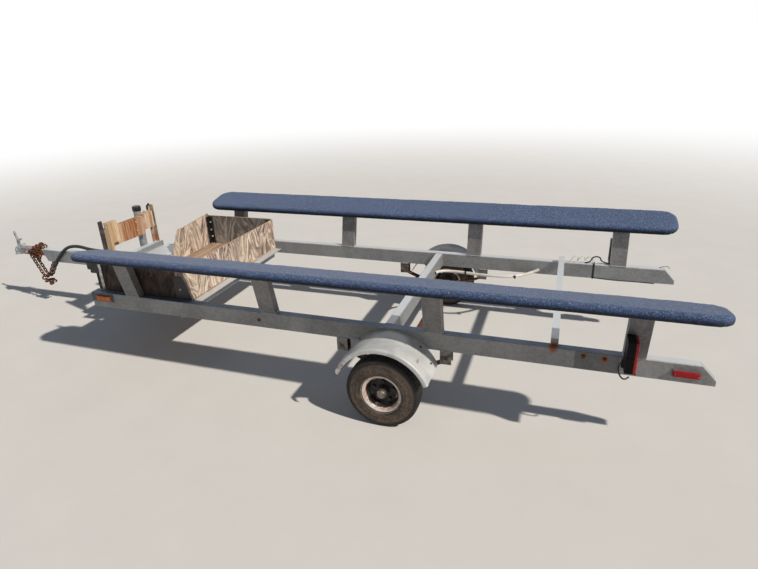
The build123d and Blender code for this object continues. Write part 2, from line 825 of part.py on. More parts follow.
def markers():
    y_base = rail_outer_y + marker_base_depth
    rear_x = rail_rear_x + marker_rear_inset
    front_x = rail_front_x - marker_front_inset
    bases = []
    front_base_x = rail_front_x - marker_front_base_inset
    rear_base = (marker_rear_base_length, marker_rear_base_height)
    front_base = (marker_front_base_length, marker_front_base_height)
    for name, x, z, base_x, (base_length, base_height) in (
        ("markers_red", rear_x, marker_rear_mid_z, rear_x, rear_base),
        ("markers_amber", front_x, marker_front_mid_z, front_base_x, front_base),
    ):
        half = marker_length / 2
        rise = marker_height / 2
        marker = block(x - half, x + half, y_base, y_base + marker_depth, z - rise, z + rise)
        marker = chamfer(marker.faces().sort_by(Axis.Y)[-1].edges(), marker_chamfer)
        save(name, Compound([on_side(marker, side).solid() for side in sides]))
        half = base_length / 2
        rise = base_height / 2
        base = block(base_x - half, base_x + half, rail_outer_y, y_base, z - rise, z + rise)
        bases.append(chamfer(base.faces().sort_by(Axis.Y)[-1].edges(), marker_base_chamfer))
    save("marker_bases", Compound([on_side(base, side).solid() for side in sides for base in bases]))


def jack():
    """Tube bolted beside the tongue, with a leg that slides in it."""
    tongue_side = -tongue_width / 2
    bore = jack_tube_radius - jack_tube_wall
    tube = rod_z(jack_x, jack_y, jack_tube_radius, jack_tube_bottom_z, jack_tube_top_z)
    tube -= rod_z(jack_x, jack_y, bore, jack_tube_bottom_z, jack_tube_top_z - jack_tube_lid)
    save("jack_tube", tube)
    cap = rod_z(jack_x, jack_y, jack_cap_radius, jack_tube_top_z, jack_tube_top_z + jack_cap_height)
    save("jack_cap", chamfer(cap.edges().sort_by(Axis.Z)[-1], jack_cap_chamfer))

    half = jack_bracket_length / 2
    low = rail_bottom_z + (tube_height - jack_bracket_height) / 2
    high = low + jack_bracket_height
    plate_y = tongue_side - jack_plate
    bracket = block(jack_x - half, jack_x + half, plate_y, tongue_side, low, high)
    web = jack_web_length / 2
    bracket += block(jack_x - web, jack_x + web, jack_y, plate_y, low + jack_web_inset, high - jack_web_inset)
    bracket -= rod_z(jack_x, jack_y, jack_tube_radius, low, high)
    save("jack_bracket", bracket.solids().sort_by(SortBy.VOLUME)[-1])

    crank_z = jack_tube_top_z - crank_drop
    shaft_y = jack_y - jack_tube_radius
    arm_y = shaft_y - crank_shaft
    shaft = rod_y(jack_x, crank_z, crank_radius, arm_y, shaft_y)
    half = crank_arm_width / 2
    arm_low = crank_z - crank_arm
    arm_high = crank_z + crank_arm_end
    arm = block(jack_x - half, jack_x + half, arm_y - crank_arm_thick, arm_y, arm_low, arm_high)
    grip_y = arm_y - crank_arm_thick
    grip = rod_y(jack_x, arm_low + crank_arm_end, crank_grip_radius, grip_y - crank_grip, grip_y)
    save("jack_crank", shaft + arm + grip)

    leg = rod_z(jack_x, jack_y, bore - jack_leg_gap, jack_foot_thick, jack_leg_top_z)
    half = jack_foot_size / 2
    leg += block(jack_x - half, jack_x + half, jack_y - half, jack_y + half, 0, jack_foot_thick)
    save("jack_leg", leg)


def chain_link(middle, direction, roll):
    """One flat-bar link, its long way along the direction, turned about it by roll."""

    def ring_outline(inset):
        x = link_length / 2 - inset
        y = link_width / 2 - inset
        c = link_chamfer - inset * (2 - math.sqrt(2))
        corners = [(x, y - c), (x - c, y), (c - x, y), (-x, y - c)]
        corners += [(-x, c - y), (c - x, -y), (x - c, -y), (x, c - y)]
        return make_face(Polyline(*corners, close=True))

    ring = extrude(ring_outline(0) - ring_outline(link_wire), amount=link_wire / 2, both=True)
    across = Vector(0, 1, 0).cross(direction).normalized()
    plane = Plane(origin=middle, x_dir=direction, z_dir=across)
    return (plane * (Rot(roll, 0, 0) * ring)).solid()


def chain_path(rear_z, front_z):
    """Places in X and Z along a hanging chain: down a line, round a bend, up a line."""
    rear = Vector(chain_rear_x, 0, rear_z)
    front = Vector(chain_front_x, 0, front_z)
    low = Vector(chain_bottom_x, 0, chain_bottom_z)
    down = (low - rear).normalized()
    up = (front - low).normalized()
    turn = math.acos(max(-1.0, min(1.0, down.dot(up))))
    setback = chain_bend_radius * math.tan(turn / 2)
    bend_start = low - down * setback
    bend_end = low + up * setback
    inward = Vector(-down.Z, 0, down.X)
    if inward.dot(up) < 0:
        inward = -inward
    centre = bend_start + inward * chain_bend_radius
    first = (bend_start - rear).length
    bend = chain_bend_radius * turn
    last = (front - bend_end).length

    def place(distance):
        if distance < first:
            return rear + down * distance
        if distance < first + bend:
            angle = (distance - first) / chain_bend_radius
            across = inward * (-chain_bend_radius * math.cos(angle))
            return centre + across + down * (chain_bend_radius * math.sin(angle))
        return bend_end + up * (distance - first - bend)

    return place, first + bend + last


def safety_chains():
    rear_under = rail_bottom_z
    front_under = rail_top_z - tongue_wall - inner_size
    pitch = link_length - 2 * link_wire - link_slack
    above_eye = eye_to_first_link - eye_drop
    place, length = chain_path(rear_under + above_eye, front_under + above_eye)
    count = 2 * math.ceil((length / pitch - 1) / 2) + 1
    joints = [place(length * index / count) for index in range(count + 1)]
    links = []
    for index in range(count):
        way = (joints[index + 1] - joints[index]).normalized()
        middle = (joints[index] + joints[index + 1]) * 0.5 + Vector(0, chain_y, 0)
        links.append(chain_link(middle, way, 90 * (index % 2)))
    for side in sides:
        save(f"safety_chain_{side}", Compound([on_side(link, side) for link in links]))

    eyes = []
    for x, under in ((chain_rear_x, rear_under), (chain_front_x, front_under)):
        low = under - eye_drop - eye_wire_radius
        eye = block(
            x - eye_half_length,
            x + eye_half_length,
            chain_y - eye_wire_radius,
            chain_y + eye_wire_radius,
            low,
            low + 2 * eye_wire_radius,
        )
        y0 = chain_y - eye_wire_radius
        y1 = chain_y + eye_wire_radius
        for end in (x - eye_half_length, x + eye_half_length - 2 * eye_wire_radius):
            eye += block(end, end + 2 * eye_wire_radius, y0, y1, low, under)
        eyes.append(eye.solid())
    save("chain_eyes", Compound([on_side(eye, side).solid() for side in sides for eye in eyes]))


def wiring_lead():
    """Straight runs joined by tangent arcs, as large as the shorter run beside each allows."""
    points = [Vector(*point) for point in lead_points]
    ways = [(b - a).normalized() for a, b in zip(points, points[1:])]
    runs = [(b - a).length for a, b in zip(points, points[1:])]
    edges = []
    start = points[0]
    for index in range(1, len(points) - 1):
        before = ways[index - 1]
        after = ways[index]
        setback = lead_run_share * min(runs[index - 1], runs[index])
        radius = setback / math.tan(math.radians(before.get_angle(after)) / 2)
        print("lead bend radius", round(radius))
        bend_start = points[index] - before * setback
        bend_end = points[index] + after * setback
        centre = bend_start + (after - before * after.dot(before)).normalized() * radius
        bend_middle = centre + (points[index] - centre).normalized() * radius
        edges.append(Line(start, bend_start))
        edges.append(ThreePointArc(bend_start, bend_middle, bend_end))
        start = bend_end
    edges.append(Line(start, points[-1]))
    route = Wire(edges)
    section = Plane(origin=points[0], z_dir=ways[0]) * Circle(lead_diameter / 2)
    save("wiring_lead", sweep(section, path=route))
    print("lead length", round(route.length, 1))

    x = lead_points[0][0]
    half = relief_width / 2
    relief = block(x - relief_length, x, -half, half, rail_top_z, rail_top_z + relief_height)
    plug_way = Plane(origin=points[-1], z_dir=ways[-1])
    plug = plug_way * Pos(0, 0, plug_length / 2) * Cylinder(plug_radius, plug_length)
    save("lead_ends", Compound([relief.solid(), plug.solid()]))


rails()
cross_members()
posts()
bunks()
tongue()
coupler()
plywood_bin()
bunk_brackets()
bow_stop()
tyres(rims())
hubs()
axle()
springs()
fenders()
lamps()
markers()
jack()
safety_chains()
wiring_lead()

os.makedirs("parts", exist_ok=True)
for name, shape in parts.items():
    export_step(shape, f"parts/{name}.step")
print(len(parts), "parts, origin moved by", round(origin_x, 3))
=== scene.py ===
# Boat trailer: carpet, tread, welds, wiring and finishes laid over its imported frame.
# Metres. X runs forward to the coupler, Y to the trailer's left, Z up from the ground.

import math

import bmesh
import bpy
from mathutils import Matrix, Vector, noise


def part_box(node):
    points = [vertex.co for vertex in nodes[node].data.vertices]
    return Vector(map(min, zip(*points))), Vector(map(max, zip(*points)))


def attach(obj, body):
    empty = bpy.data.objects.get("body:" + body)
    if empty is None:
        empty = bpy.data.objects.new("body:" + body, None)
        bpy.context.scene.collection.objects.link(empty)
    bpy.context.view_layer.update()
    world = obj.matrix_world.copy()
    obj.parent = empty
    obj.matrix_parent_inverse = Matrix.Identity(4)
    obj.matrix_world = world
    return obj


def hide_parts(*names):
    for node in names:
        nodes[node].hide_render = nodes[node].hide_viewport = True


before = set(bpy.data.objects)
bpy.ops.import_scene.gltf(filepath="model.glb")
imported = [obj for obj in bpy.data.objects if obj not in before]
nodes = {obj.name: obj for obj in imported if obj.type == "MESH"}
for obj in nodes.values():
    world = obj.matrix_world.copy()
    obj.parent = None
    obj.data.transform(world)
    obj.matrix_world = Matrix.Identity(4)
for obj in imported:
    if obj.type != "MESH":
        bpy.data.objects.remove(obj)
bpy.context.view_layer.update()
sides = {"left": 1, "right": -1}
print("frame loaded:", len(nodes), "nodes")


# Camera

camera = {
    "place": (-1.8413, 3.1658, 1.842),
    "turns": [("Z", 199.634), ("X", 67.627), ("Z", -2.225)],
    "lens": 25.73,
    "sensor": 36,
}


def placeCamera():
    data = bpy.data.cameras.new("camera")
    data.lens = camera["lens"]
    data.sensor_width = camera["sensor"]
    data.sensor_fit = "HORIZONTAL"
    data.clip_end = 200
    body = bpy.data.objects.new("camera", data)
    place = Matrix.Translation(camera["place"])
    for letter, degrees in camera["turns"]:
        place = place @ Matrix.Rotation(math.radians(degrees), 4, letter)
    body.matrix_world = place
    bpy.context.scene.collection.objects.link(body)
    bpy.context.scene.camera = body


# Shader kit


# #rrggbb to the renderer's own colour values.
def linear(code):
    values = []
    for start in (1, 3, 5):
        part = int(code[start : start + 2], 16) / 255
        values.append(part / 12.92 if part <= 0.04045 else ((part + 0.055) / 1.055) ** 2.4)
    return (*values, 1)


# A socket that sums and products can be written with.
class Value:

    def __init__(self, paint, socket):
        self.paint = paint
        self.socket = socket

    def __add__(self, other):
        return self.paint.maths("ADD", self, other)

    def __sub__(self, other):
        return self.paint.maths("SUBTRACT", self, other)

    def __rsub__(self, other):
        return self.paint.maths("SUBTRACT", other, self)

    def __mul__(self, other):
        return self.paint.maths("MULTIPLY", self, other)

    def __abs__(self):
        return self.paint.maths("ABSOLUTE", self)

    __radd__ = __add__
    __rmul__ = __mul__

    def most(self, other):
        return self.paint.maths("MAXIMUM", self, other)

    def rise(self, low, high, start=0, end=1):
        sockets = {"Value": self, "From Min": low, "From Max": high, "To Min": start, "To Max": end}
        return self.paint.node("MapRange", sockets, {"interpolation_type": "SMOOTHSTEP"})

    def band(self, risesFrom, risesTo, fallsFrom, fallsTo):
        return self.rise(risesFrom, risesTo) * (1 - self.rise(fallsFrom, fallsTo))

    # The first tone going over into the second where the value rises.
    def blend(self, low, high, first, second, amount=1):
        return self.paint.mix(self.rise(low, high, 0, amount), first, second)


# The nodes of a material or of the world.
class Tree:

    def __init__(self, owner, shader):
        owner.use_nodes = True
        self.tree = owner.node_tree
        self.shader = self.tree.nodes[shader]

    def constants(self, values):
        for key, value in values.items():
            self.shader.inputs[key].default_value = value

    def node(self, kind, sockets=None, settings=None, out=0):
        made = self.tree.nodes.new("ShaderNode" + kind)
        for key, value in (settings or {}).items():
            setattr(made, key, value)
        for key, value in (sockets or {}).items():
            if isinstance(value, Value):
                self.tree.links.new(value.socket, made.inputs[key])
            else:
                made.inputs[key].default_value = linear(value) if isinstance(value, str) else value
        return Value(self, made.outputs[out])

    # Shows the second shader in place of the tree's own where a value is 1.
    def choose(self, value, second, output):
        own = Value(self, self.shader.outputs[0])
        shown = self.node("MixShader", {0: value, 1: own, 2: second})
        self.tree.links.new(shown.socket, self.tree.nodes[output].inputs["Surface"])

    def maths(self, operation, first, second=0):
        return self.node("Math", {0: first, 1: second}, {"operation": operation})

    def length(self, vector):
        return self.node("VectorMath", {0: vector}, {"operation": "LENGTH"}, "Value")


# One material: its shader's constants, and what varies over the surface.
class Paint(Tree):

    def __init__(self, name, specular, metallic=0):
        self.material = bpy.data.materials.new(name)
        super().__init__(self.material, "Principled BSDF")
        self.constants({"Specular IOR Level": specular, "Metallic": metallic})
        self.place = self.node("TexCoord", out="Object")

    def mapped(self, scale, shift=(0, 0, 0)):
        return self.node("Mapping", {"Vector": self.place, "Scale": scale, "Location": shift})

    # Distance from a line across the trailer, in a view from the side.
    def away(self, x, z, tall=1):
        return self.length(self.mapped((1, 0, tall), (-x, 0, -z * tall)))

    def speckle(self, scale, detail=3, rough=0.55, twist=0, place=None):
        sockets = {"Scale": scale, "Detail": detail, "Roughness": rough, "Distortion": twist}
        return self.node("TexNoise", {"Vector": place or self.place, **sockets})

    def grained(self, scale, detail, rough, twist):
        return self.speckle(1, detail, rough, twist, self.mapped(scale))

    def cells(self, scale, feature="F1"):
        return self.node("TexVoronoi", {"Vector": self.place, "Scale": scale}, {"feature": feature})

    def mix(self, factor, first, second):
        return self.node("Mix", {0: factor, 6: first, 7: second}, {"data_type": "RGBA"}, 2)

    # One more tone over the colour so far.
    def coat(self, factor, tone):
        self.colour = self.mix(factor, self.colour, tone)

    def layer(self, value, low, high, tone, amount=1):
        self.coat(value.rise(low, high, 0, amount), tone)

    def axis(self, letter, place=None):
        return self.node("SeparateXYZ", {0: place or self.place}, out=letter)

    def facing(self, letter):
        return self.axis(letter, self.node("NewGeometry", out="Normal"))

    # How near an edge a point is: 0 on a flat, towards 1 on a corner.
    def corners(self, radius):
        rounded = self.node("Bevel", {"Radius": radius}, {"samples": 4})
        flat = self.node("NewGeometry", out="Normal")
        along = self.node("VectorMath", {0: rounded, 1: flat}, {"operation": "DOT_PRODUCT"}, "Value")
        return (1 - along).rise(0.01, 0.16)

    # Links what varies; relief is a height, how deep it is and how strongly it shows.
    def finish(self, rough=None, relief=None, metal=None):
        values = {"Base Color": self.colour, "Roughness": rough, "Metallic": metal}
        if relief:
            height, distance, strength = relief
            values["Normal"] = self.node("Bump", {"Height": height, "Distance": distance, "Strength": strength})
        for key, value in values.items():
            if value is not None:
                self.tree.links.new(value.socket, self.shader.inputs[key])
        return self.material


# Floor and light

light = {
    "sunFrom": (-1.05, 0.33, 1),
    "sunStrength": 3.75,
    "sunSpread": 1.5,
    "sunColour": "#fff6ea",
    "sky": 0.22,
    "skyColour": "#cfdcf2",
    "floorColours": ("#d3d2cf", "#dcdbd8"),
    "floorRadius": 60,
    "fadeFrom": 4,
    "fadeTo": 14,
}


def lightScene():
    sun = bpy.data.lights.new("sun", "SUN")
    sun.energy = light["sunStrength"]
    sun.angle = math.radians(light["sunSpread"])
    sun.color = linear(light["sunColour"])[:3]
    lamp = bpy.data.objects.new("sun", sun)
    lamp.rotation_euler = Vector(light["sunFrom"]).to_track_quat("Z", "Y").to_euler()
    bpy.context.scene.collection.objects.link(lamp)

    world = bpy.data.worlds.new("studio")
    bpy.context.scene.world = world
    bpy.context.scene.view_settings.view_transform = "Standard"
    sky = Tree(world, "Background")
    sky.constants({"Color": linear(light["skyColour"]), "Strength": light["sky"]})
    seen = 0
    for kind in ("Camera", "Glossy", "Transmission"):
        seen = sky.node("LightPath", out=f"Is {kind} Ray").most(seen)
    sky.choose(seen, sky.node("Background", {"Color": "#ffffff"}), "World Output")


def layFloor():
    mesh = bpy.data.meshes.new("floor")
    shape = bmesh.new()
    bmesh.ops.create_circle(shape, cap_ends=True, radius=light["floorRadius"], segments=96)
    shape.to_mesh(mesh)
    shape.free()
    floor = bpy.data.objects.new("floor", mesh)
    bpy.context.scene.collection.objects.link(floor)
    paint = Paint("floor", 0.1)
    paint.constants({"Roughness": 0.9})
    paint.colour = paint.mix(paint.speckle(3), *light["floorColours"])
    paint.finish()
    faded = paint.length(paint.place).rise(light["fadeFrom"], light["fadeTo"])
    paint.choose(faded, paint.node("Emission"), "Material Output")
    mesh.materials.append(paint.material)


placeCamera()
lightScene()
layFloor()
print("camera, light and floor ready")


# Places that the pieces share, read from the frame

railLow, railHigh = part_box("rail_left")
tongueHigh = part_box("tongue_outer")[1]
bunkLow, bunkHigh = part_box("bunk_left")
wheelX, wheelY, wheelZ = ((low + high) / 2 for low, high in zip(*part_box("tyre_left")))
shift = railHigh.x - 2.092  # stations along the frame are measured from the axle


def spot(x, y, z):
    return Vector((x + shift, y, z))


def aroundWheel(radius, angle, y):
    return Vector((wheelX + radius * math.cos(angle), y, wheelZ + radius * math.sin(angle)))


# Where a finish changes: stations from the axle, sides, heights or distances from the wheels' axis
marks = {
    "railRust": [(-0.985, 0.468, 0.02), (-1.083, 0.466, 0.026), (-0.842, 0.492, 0.03), (0.83, 0.443, 0.016)],
    "railSides": (0.5, 0.7),
    "railFace": (0.655, 0.659),
    "fenderRust": [(-0.19, 0.412, 0.012)],
    "fenderSides": (0.8, 0.835),
    "fenderFront": (0.15, 0.25),
    "uprightFoot": (0.6, 0.76),
    "tyreDustFrom": (0.13, 0.145),
    "tyreDustTo": (0.182, 0.196),
    "blackTo": (0.0905, 0.0925),
    "railDarkStretch": (-1.15, -1.147, -0.947, -0.944),
    "railShade": (-1.27, -1.21),
    "platedFrom": (3.482, 3.496),
    "orangeTo": (3.36, 3.43),
    "rolledEdge": (0.872, 0.886),
    "wheelSeam": (0.086, 0.092, 0.094, 0.101),
    "rimEdge": (0.11, 0.116),
    "hubNuts": (0.043, 0.0455, 0.07, 0.0725),
    "hubFace": (0.8225, 0.8238),
    "hubCap": (0.0258, 0.027),
}


def fromAxle(name):
    return [station + shift for station in marks[name]]


# Rust that has bled downwards from a few places, between two distances to the trailer's left.
def bleeds(paint, places, nearest, farthest):
    ragged = paint.speckle(55, 5, 0.7)
    rust = None
    for x, z, radius in places:
        away = paint.away(x + shift, z, 0.8) + ragged * radius
        bled = 1 - away.rise(radius * 0.55, radius * 1.5)
        rust = rust.most(bled) if rust else bled
    return rust * paint.axis("Y").band(nearest, nearest + 0.01, farthest, farthest + 0.01)


# Weathered galvanised tube: cloudy spangle, chalky patches, run-down stains and rust freckles.
def zincSteel(name, base, dark, stain, rustAmount=0.5, clean=0.5, rusty=False, shaded=False):
    paint = Paint(name, 0.45, 0.35)
    cloud = paint.speckle(5, 5, 0.6, 0.4)
    spangle = paint.cells(55)
    drips = paint.grained((3, 3, 0.55), 4, 0.6, 0.6)
    paint.colour = cloud.blend(0.35, 0.68, base, dark)
    paint.layer(spangle, 0.2, 0.75, "#dfe2e4", 0.07)
    paint.layer(drips, 0.52, 0.72, "#7f7461", stain)
    paint.layer(paint.speckle(38, 4, 0.7), 0.6, 0.8, "#4f4a42", 0.25)
    freckles = paint.speckle(23, 6, 0.72, 1).rise(0.66, 0.76)
    rust = freckles * paint.speckle(2.3, 4, 0.6, 0.7).rise(0.52, 0.7) * rustAmount
    # Painted light: upward faces paler as if sunlit; where shaded is set, the near rail's top turns navy ahead of
    # station -1.21 as a painted bunk shadow and painted sky reflection.
    top = "#d3d8dd"
    if shaded:
        top = paint.axis("X").blend(*fromAxle("railShade"), top, "#435a78")
    paint.layer(paint.facing("Z"), 0.55, 0.92, top, 0.8)
    if rusty:
        rust = rust.most(bleeds(paint, marks["railRust"], *marks["railSides"]))
        # A darker stretch along the left rail's outer face, just ahead of the lamp.
        outside = paint.axis("Y").rise(*marks["railFace"])
        paint.coat(paint.axis("X").band(*fromAxle("railDarkStretch")) * outside * 0.55, "#3f403f")
    paint.coat(paint.corners(0.004) * 0.35, "#d9dbdc")
    paint.coat(rust, paint.mix(paint.speckle(90), "#7a4322", "#a8622c"))
    rough = cloud.rise(0.2, 0.8, 0.46, 0.68) + rust * 0.25
    height = paint.speckle(160, 2) * 0.3 + spangle * 0.2 + rust * 0.8
    return paint.finish(rough, (height, 0.0006, clean))


# Steel that rust has taken in flakes over dull metal.
def rustySteel(name, amount, base, bright, deep):
    paint = Paint(name, 0.35)
    fine = paint.speckle(120, 5, 0.7)
    rust = (paint.speckle(14, 6, 0.68, 0.5) + fine * 0.35).rise(1.02 - amount, 1.2 - amount)
    tone = fine.blend(0.35, 0.65, deep, bright)
    tone = paint.speckle(9, 4).blend(0.55, 0.7, tone, "#c98a50", 0.5)
    paint.colour = paint.mix(rust, paint.mix(paint.speckle(60), base, "#8f8f8c"), tone)
    height = fine * 0.6 + rust * 0.5
    return paint.finish(0.42 + rust * 0.45, (height, 0.0009, 0.8), 0.8 - rust * 0.75)


# Coupler: plated at the ball, its neck stained like the tube in it and rusty on top behind.
def couplerSteel(name):
    paint = Paint(name, 0.5)
    cloud = paint.speckle(40, 5, 0.7)
    ragged = cloud - 0.5
    ahead = (paint.axis("X") + ragged * 0.02).rise(*fromAxle("platedFrom"))
    behind = 1 - (paint.axis("X") + ragged * 0.06).rise(*fromAxle("orangeTo"))
    plated = cloud.blend(0.35, 0.65, "#b7bcbf", "#6f777b")
    stained = cloud.blend(0.35, 0.65, "#978c90", "#6d6465")
    orange = cloud.blend(0.4, 0.6, "#b4794c", "#6f4630")
    stained = paint.mix(paint.facing("Z").rise(0.4, 0.8) * behind * 0.9, stained, orange)
    paint.colour = paint.mix(ahead, stained, plated)
    return paint.finish(0.62 - ahead * 0.25, (paint.speckle(150), 0.0004, 0.5), ahead * 0.6)


# Short marine carpet: matted loops, pale fibre flecks, paler on top, painted sheen on the left top, painted shade
# below.
def carpetPile(name, top, low, fleck, dusty):
    paint = Paint(name, 0.12)
    paint.constants({"Roughness": 0.97, "Sheen Weight": 0.15, "Sheen Roughness": 0.4})
    pile = paint.cells(210)
    tangle = paint.speckle(170, 4, 0.75, 1.2)
    clumps = paint.speckle(120, 5, 0.85, 0.6)
    upward = paint.facing("Z").rise(0.1, 0.9)
    paint.colour = paint.speckle(6, 4, 0.62).blend(0.3, 0.72, top, low)
    paint.coat(upward * 0.6, dusty)
    # Painted sheen: the top tilted towards -Y, the left bunk's, made paler and bluer as if catching light at a
    # grazing view.
    paintedSheen = upward * (1 - paint.facing("Y").rise(-0.2, 0.1))
    paint.coat(paintedSheen * 0.4, "#9fb0d2")
    paint.layer(pile, 0.15, 0.6, "#1c2130", 0.45)
    paint.layer(clumps, 0.49, 0.6, "#1c2333", 0.7)
    paint.coat(tangle.rise(0.53, 0.63) * (upward * 0.5 + 0.4), fleck)
    # Painted shade: faces turned sideways and downward darkened nearly to black.
    paintedUnderShade = 1 - paint.facing("Z").rise(-0.35, 0.45)
    paint.coat(paintedUnderShade * 0.85, "#14171d")
    lint = paint.speckle(520, 2, 0.6, 2.5).rise(0.69, 0.74)
    paint.coat(lint * paint.speckle(30).rise(0.45, 0.6) * 0.9, "#c3c6cf")
    height = (1 - pile) * 0.6 + tangle * 0.9 + clumps * 0.7
    return paint.finish(relief=(height, 0.0035, 1))


# Bare rotary-cut plywood, weathered: upright and V-shaped grain, split and greyed, with layered edges.
def plyFace(name, pale, mid, dark, thickness="X", paintedShade=0):
    paint = Paint(name, 0.2)
    across = paint.axis("Y") + paint.axis("X")
    sway = paint.speckle(3.1, 3, 0.5, 0) * 0.22
    bend = abs(paint.maths("PINGPONG", across + sway, 0.27) - 0.13)
    flow = paint.node("CombineXYZ", {"X": paint.axis("Z") * 1.8 - bend * 4.4, "Y": across * 1.7})
    rings = paint.speckle(7.5, 7, 0.74, 0.9, flow)
    fibre = paint.grained((320, 320, 9), 5, 0.7, 0.2)
    paint.colour = rings.blend(0.42, 0.54, pale, mid)
    paint.layer(rings, 0.53, 0.64, dark, 0.9)
    paint.layer(paint.speckle(4.5, 4, 0.6, 0.8), 0.46, 0.7, "#7d6c62", 0.4)
    paint.layer(fibre, 0.48, 0.72, "#4f3b30", 0.45)
    paint.layer(paint.speckle(11, 5), 0.6, 0.76, "#d9d2ca", 0.4)
    layers = paint.maths("PINGPONG", paint.axis(thickness), 0.0024)
    layered = layers.blend(0.0008, 0.0016, "#d8c3a4", "#8a6b4c")
    paint.layer(paint.facing("Z"), 0.6, 0.8, layered)
    # Painted shade: the whole face darkened towards dark brown.
    if paintedShade:
        paint.coat(paintedShade, "#35302d")
    return paint.finish(rings.rise(0.3, 0.7, 0.7, 0.88), (fibre * 0.5 + rings * 0.7, 0.0012, 0.7))


# Sawn softwood, weathered along its grain, with its colour still warm in a band across Y.
def boardFace(name, pale, mid, dark, along, warm=None):
    stretch = [3.2 if letter == along else 85 for letter in "XYZ"]
    paint = Paint(name, 0.2)
    grain = paint.grained(stretch, 5, 0.7, 0.5)
    broad = paint.grained([part / 2.4 for part in stretch], 3, 0.6, 0.8)
    fibre = paint.grained([part * 5 for part in stretch], 3, 0.7, 0)
    paint.colour = broad.blend(0.35, 0.62, pale, mid)
    if warm:
        half, tone = warm
        away = abs(paint.axis("Y")) + (broad - 0.5) * 0.12
        inside = 1 - away.rise(half * 0.55, half)
        paint.coat(inside, grain.blend(0.45, 0.65, tone, pale))
    paint.layer(grain, 0.52, 0.64, dark, 0.75)
    paint.layer(paint.speckle(12, 4), 0.56, 0.75, "#d8cbbf", 0.5)
    paint.layer(fibre, 0.55, 0.8, "#5c4026", 0.3)
    return paint.finish(grain.rise(0.3, 0.7, 0.66, 0.85), (grain * 0.6 + fibre * 0.4, 0.0014, 0.75))


# Angle-iron uprights: the near one dark as painted shade, the far one pale as painted sunlight, both rusting from
# the foot.
def uprightSteel(name):
    paint = Paint(name, 0.35)
    cloud = paint.speckle(24, 6, 0.7, 0.5)
    near = paint.axis("Y").rise(-0.05, 0.05)
    foot = 1 - (paint.axis("Z") + cloud * 0.12).rise(*marks["uprightFoot"])
    # Painted light: a dark tone for the near, shaded upright and a pale one for the far, sunlit upright.
    dark = cloud.blend(0.4, 0.66, "#3b3536", "#6f6158")
    pale = cloud.blend(0.4, 0.66, "#b5a68e", "#7c6855")
    paint.colour = paint.mix(foot * (1 - near * 0.6) * 0.75, paint.mix(near, pale, dark), "#8f5a36")
    return paint.finish(cloud.rise(0.3, 0.7, 0.6, 0.85), (cloud, 0.0008, 0.7))


# Fenders: pale chalked metal, scratched, dirty and rusting towards the front end.
def fenderPaint(name, paintedShadeTone=None):
    paint = Paint(name, 0.4, 0.1)
    cloud = paint.speckle(7, 5, 0.6, 0.5)
    fine = paint.speckle(60, 5, 0.7)
    drag = paint.grained((24, 130, 24), 5, 0.75, 2.2)
    paint.colour = cloud.blend(0.35, 0.7, "#c6c9c9", "#abafb1")
    paint.layer(drag, 0.6, 0.7, "#e9eaea", 0.5)
    paint.layer(1 - drag, 0.64, 0.7, "#5e5a57", 0.6)
    front = (paint.axis("X") - wheelX + (cloud - 0.5) * 0.1).rise(*marks["fenderFront"])
    paint.coat(front * fine.rise(0.35, 0.6) * 0.7, "#7b746d")
    rolled = abs(paint.axis("Y")).rise(*marks["rolledEdge"])
    spots = fine.rise(0.66, 0.72) + front * rolled * fine.rise(0.52, 0.6)
    bled = bleeds(paint, marks["fenderRust"], *marks["fenderSides"])
    rust = (spots * 0.8).most(bled * 0.7)
    paint.coat(rust, paint.mix(fine, "#a5714c", "#5d3c28"))
    # Painted shade: the right fender turned almost wholly dark blue-grey.
    if paintedShadeTone:
        paint.coat(0.93, paintedShadeTone)
    rough = cloud.rise(0.3, 0.7, 0.38, 0.56) + rust * 0.3
    return paint.finish(rough, (fine * 0.3 + drag * 0.5, 0.0006, 0.6))


def blackSteel(name, base="#1b1c1e", worn="#55565a", dust=0.25):
    paint = Paint(name, 0.5, 0.2)
    film = paint.speckle(9, 4, 0.6)
    paint.colour = film.blend(0.4, 0.75, base, "#6a6763", dust)
    paint.coat(paint.corners(0.0025) * 0.6, worn)
    rust = paint.speckle(40, 5, 0.7).rise(0.63, 0.72) * 0.5
    paint.coat(rust, "#6b3d20")
    rough = film.rise(0.3, 0.7, 0.38, 0.6) + rust * 0.2
    return paint.finish(rough, (paint.speckle(220, 2), 0.0005, 0.5))


# Old bias tyre: black tread and shoulder, a brown ring of dust round the sidewall, fine cracks.
def tyreRubber(name):
    paint = Paint(name, 0.3)
    reach = paint.away(wheelX, wheelZ)
    dust = paint.speckle(13, 5, 0.65, 0.5)
    fine = paint.speckle(130, 4, 0.7)
    ring = (reach + dust * 0.03).rise(*marks["tyreDustFrom"])
    ring = ring * (1 - (reach + dust * 0.024).rise(*marks["tyreDustTo"]))
    paint.colour = fine.blend(0.4, 0.7, "#1b1a1a", "#2c2a28")
    paint.coat(ring * dust.rise(0.3, 0.55, 0.25, 0.95), "#63564b")
    paint.coat((1 - ring) * dust.rise(0.5, 0.7) * 0.3, "#5d5348")
    paint.coat(ring * paint.cells(75).rise(0.4, 0.6) * 0.45, "#2b2622")
    cracks = paint.cells(150, "DISTANCE_TO_EDGE")
    height = cracks.rise(0, 0.05) * 0.4 + fine * 0.5
    return paint.finish(dust.rise(0.3, 0.7, 0.62, 0.86), (height, 0.0007, 0.6))


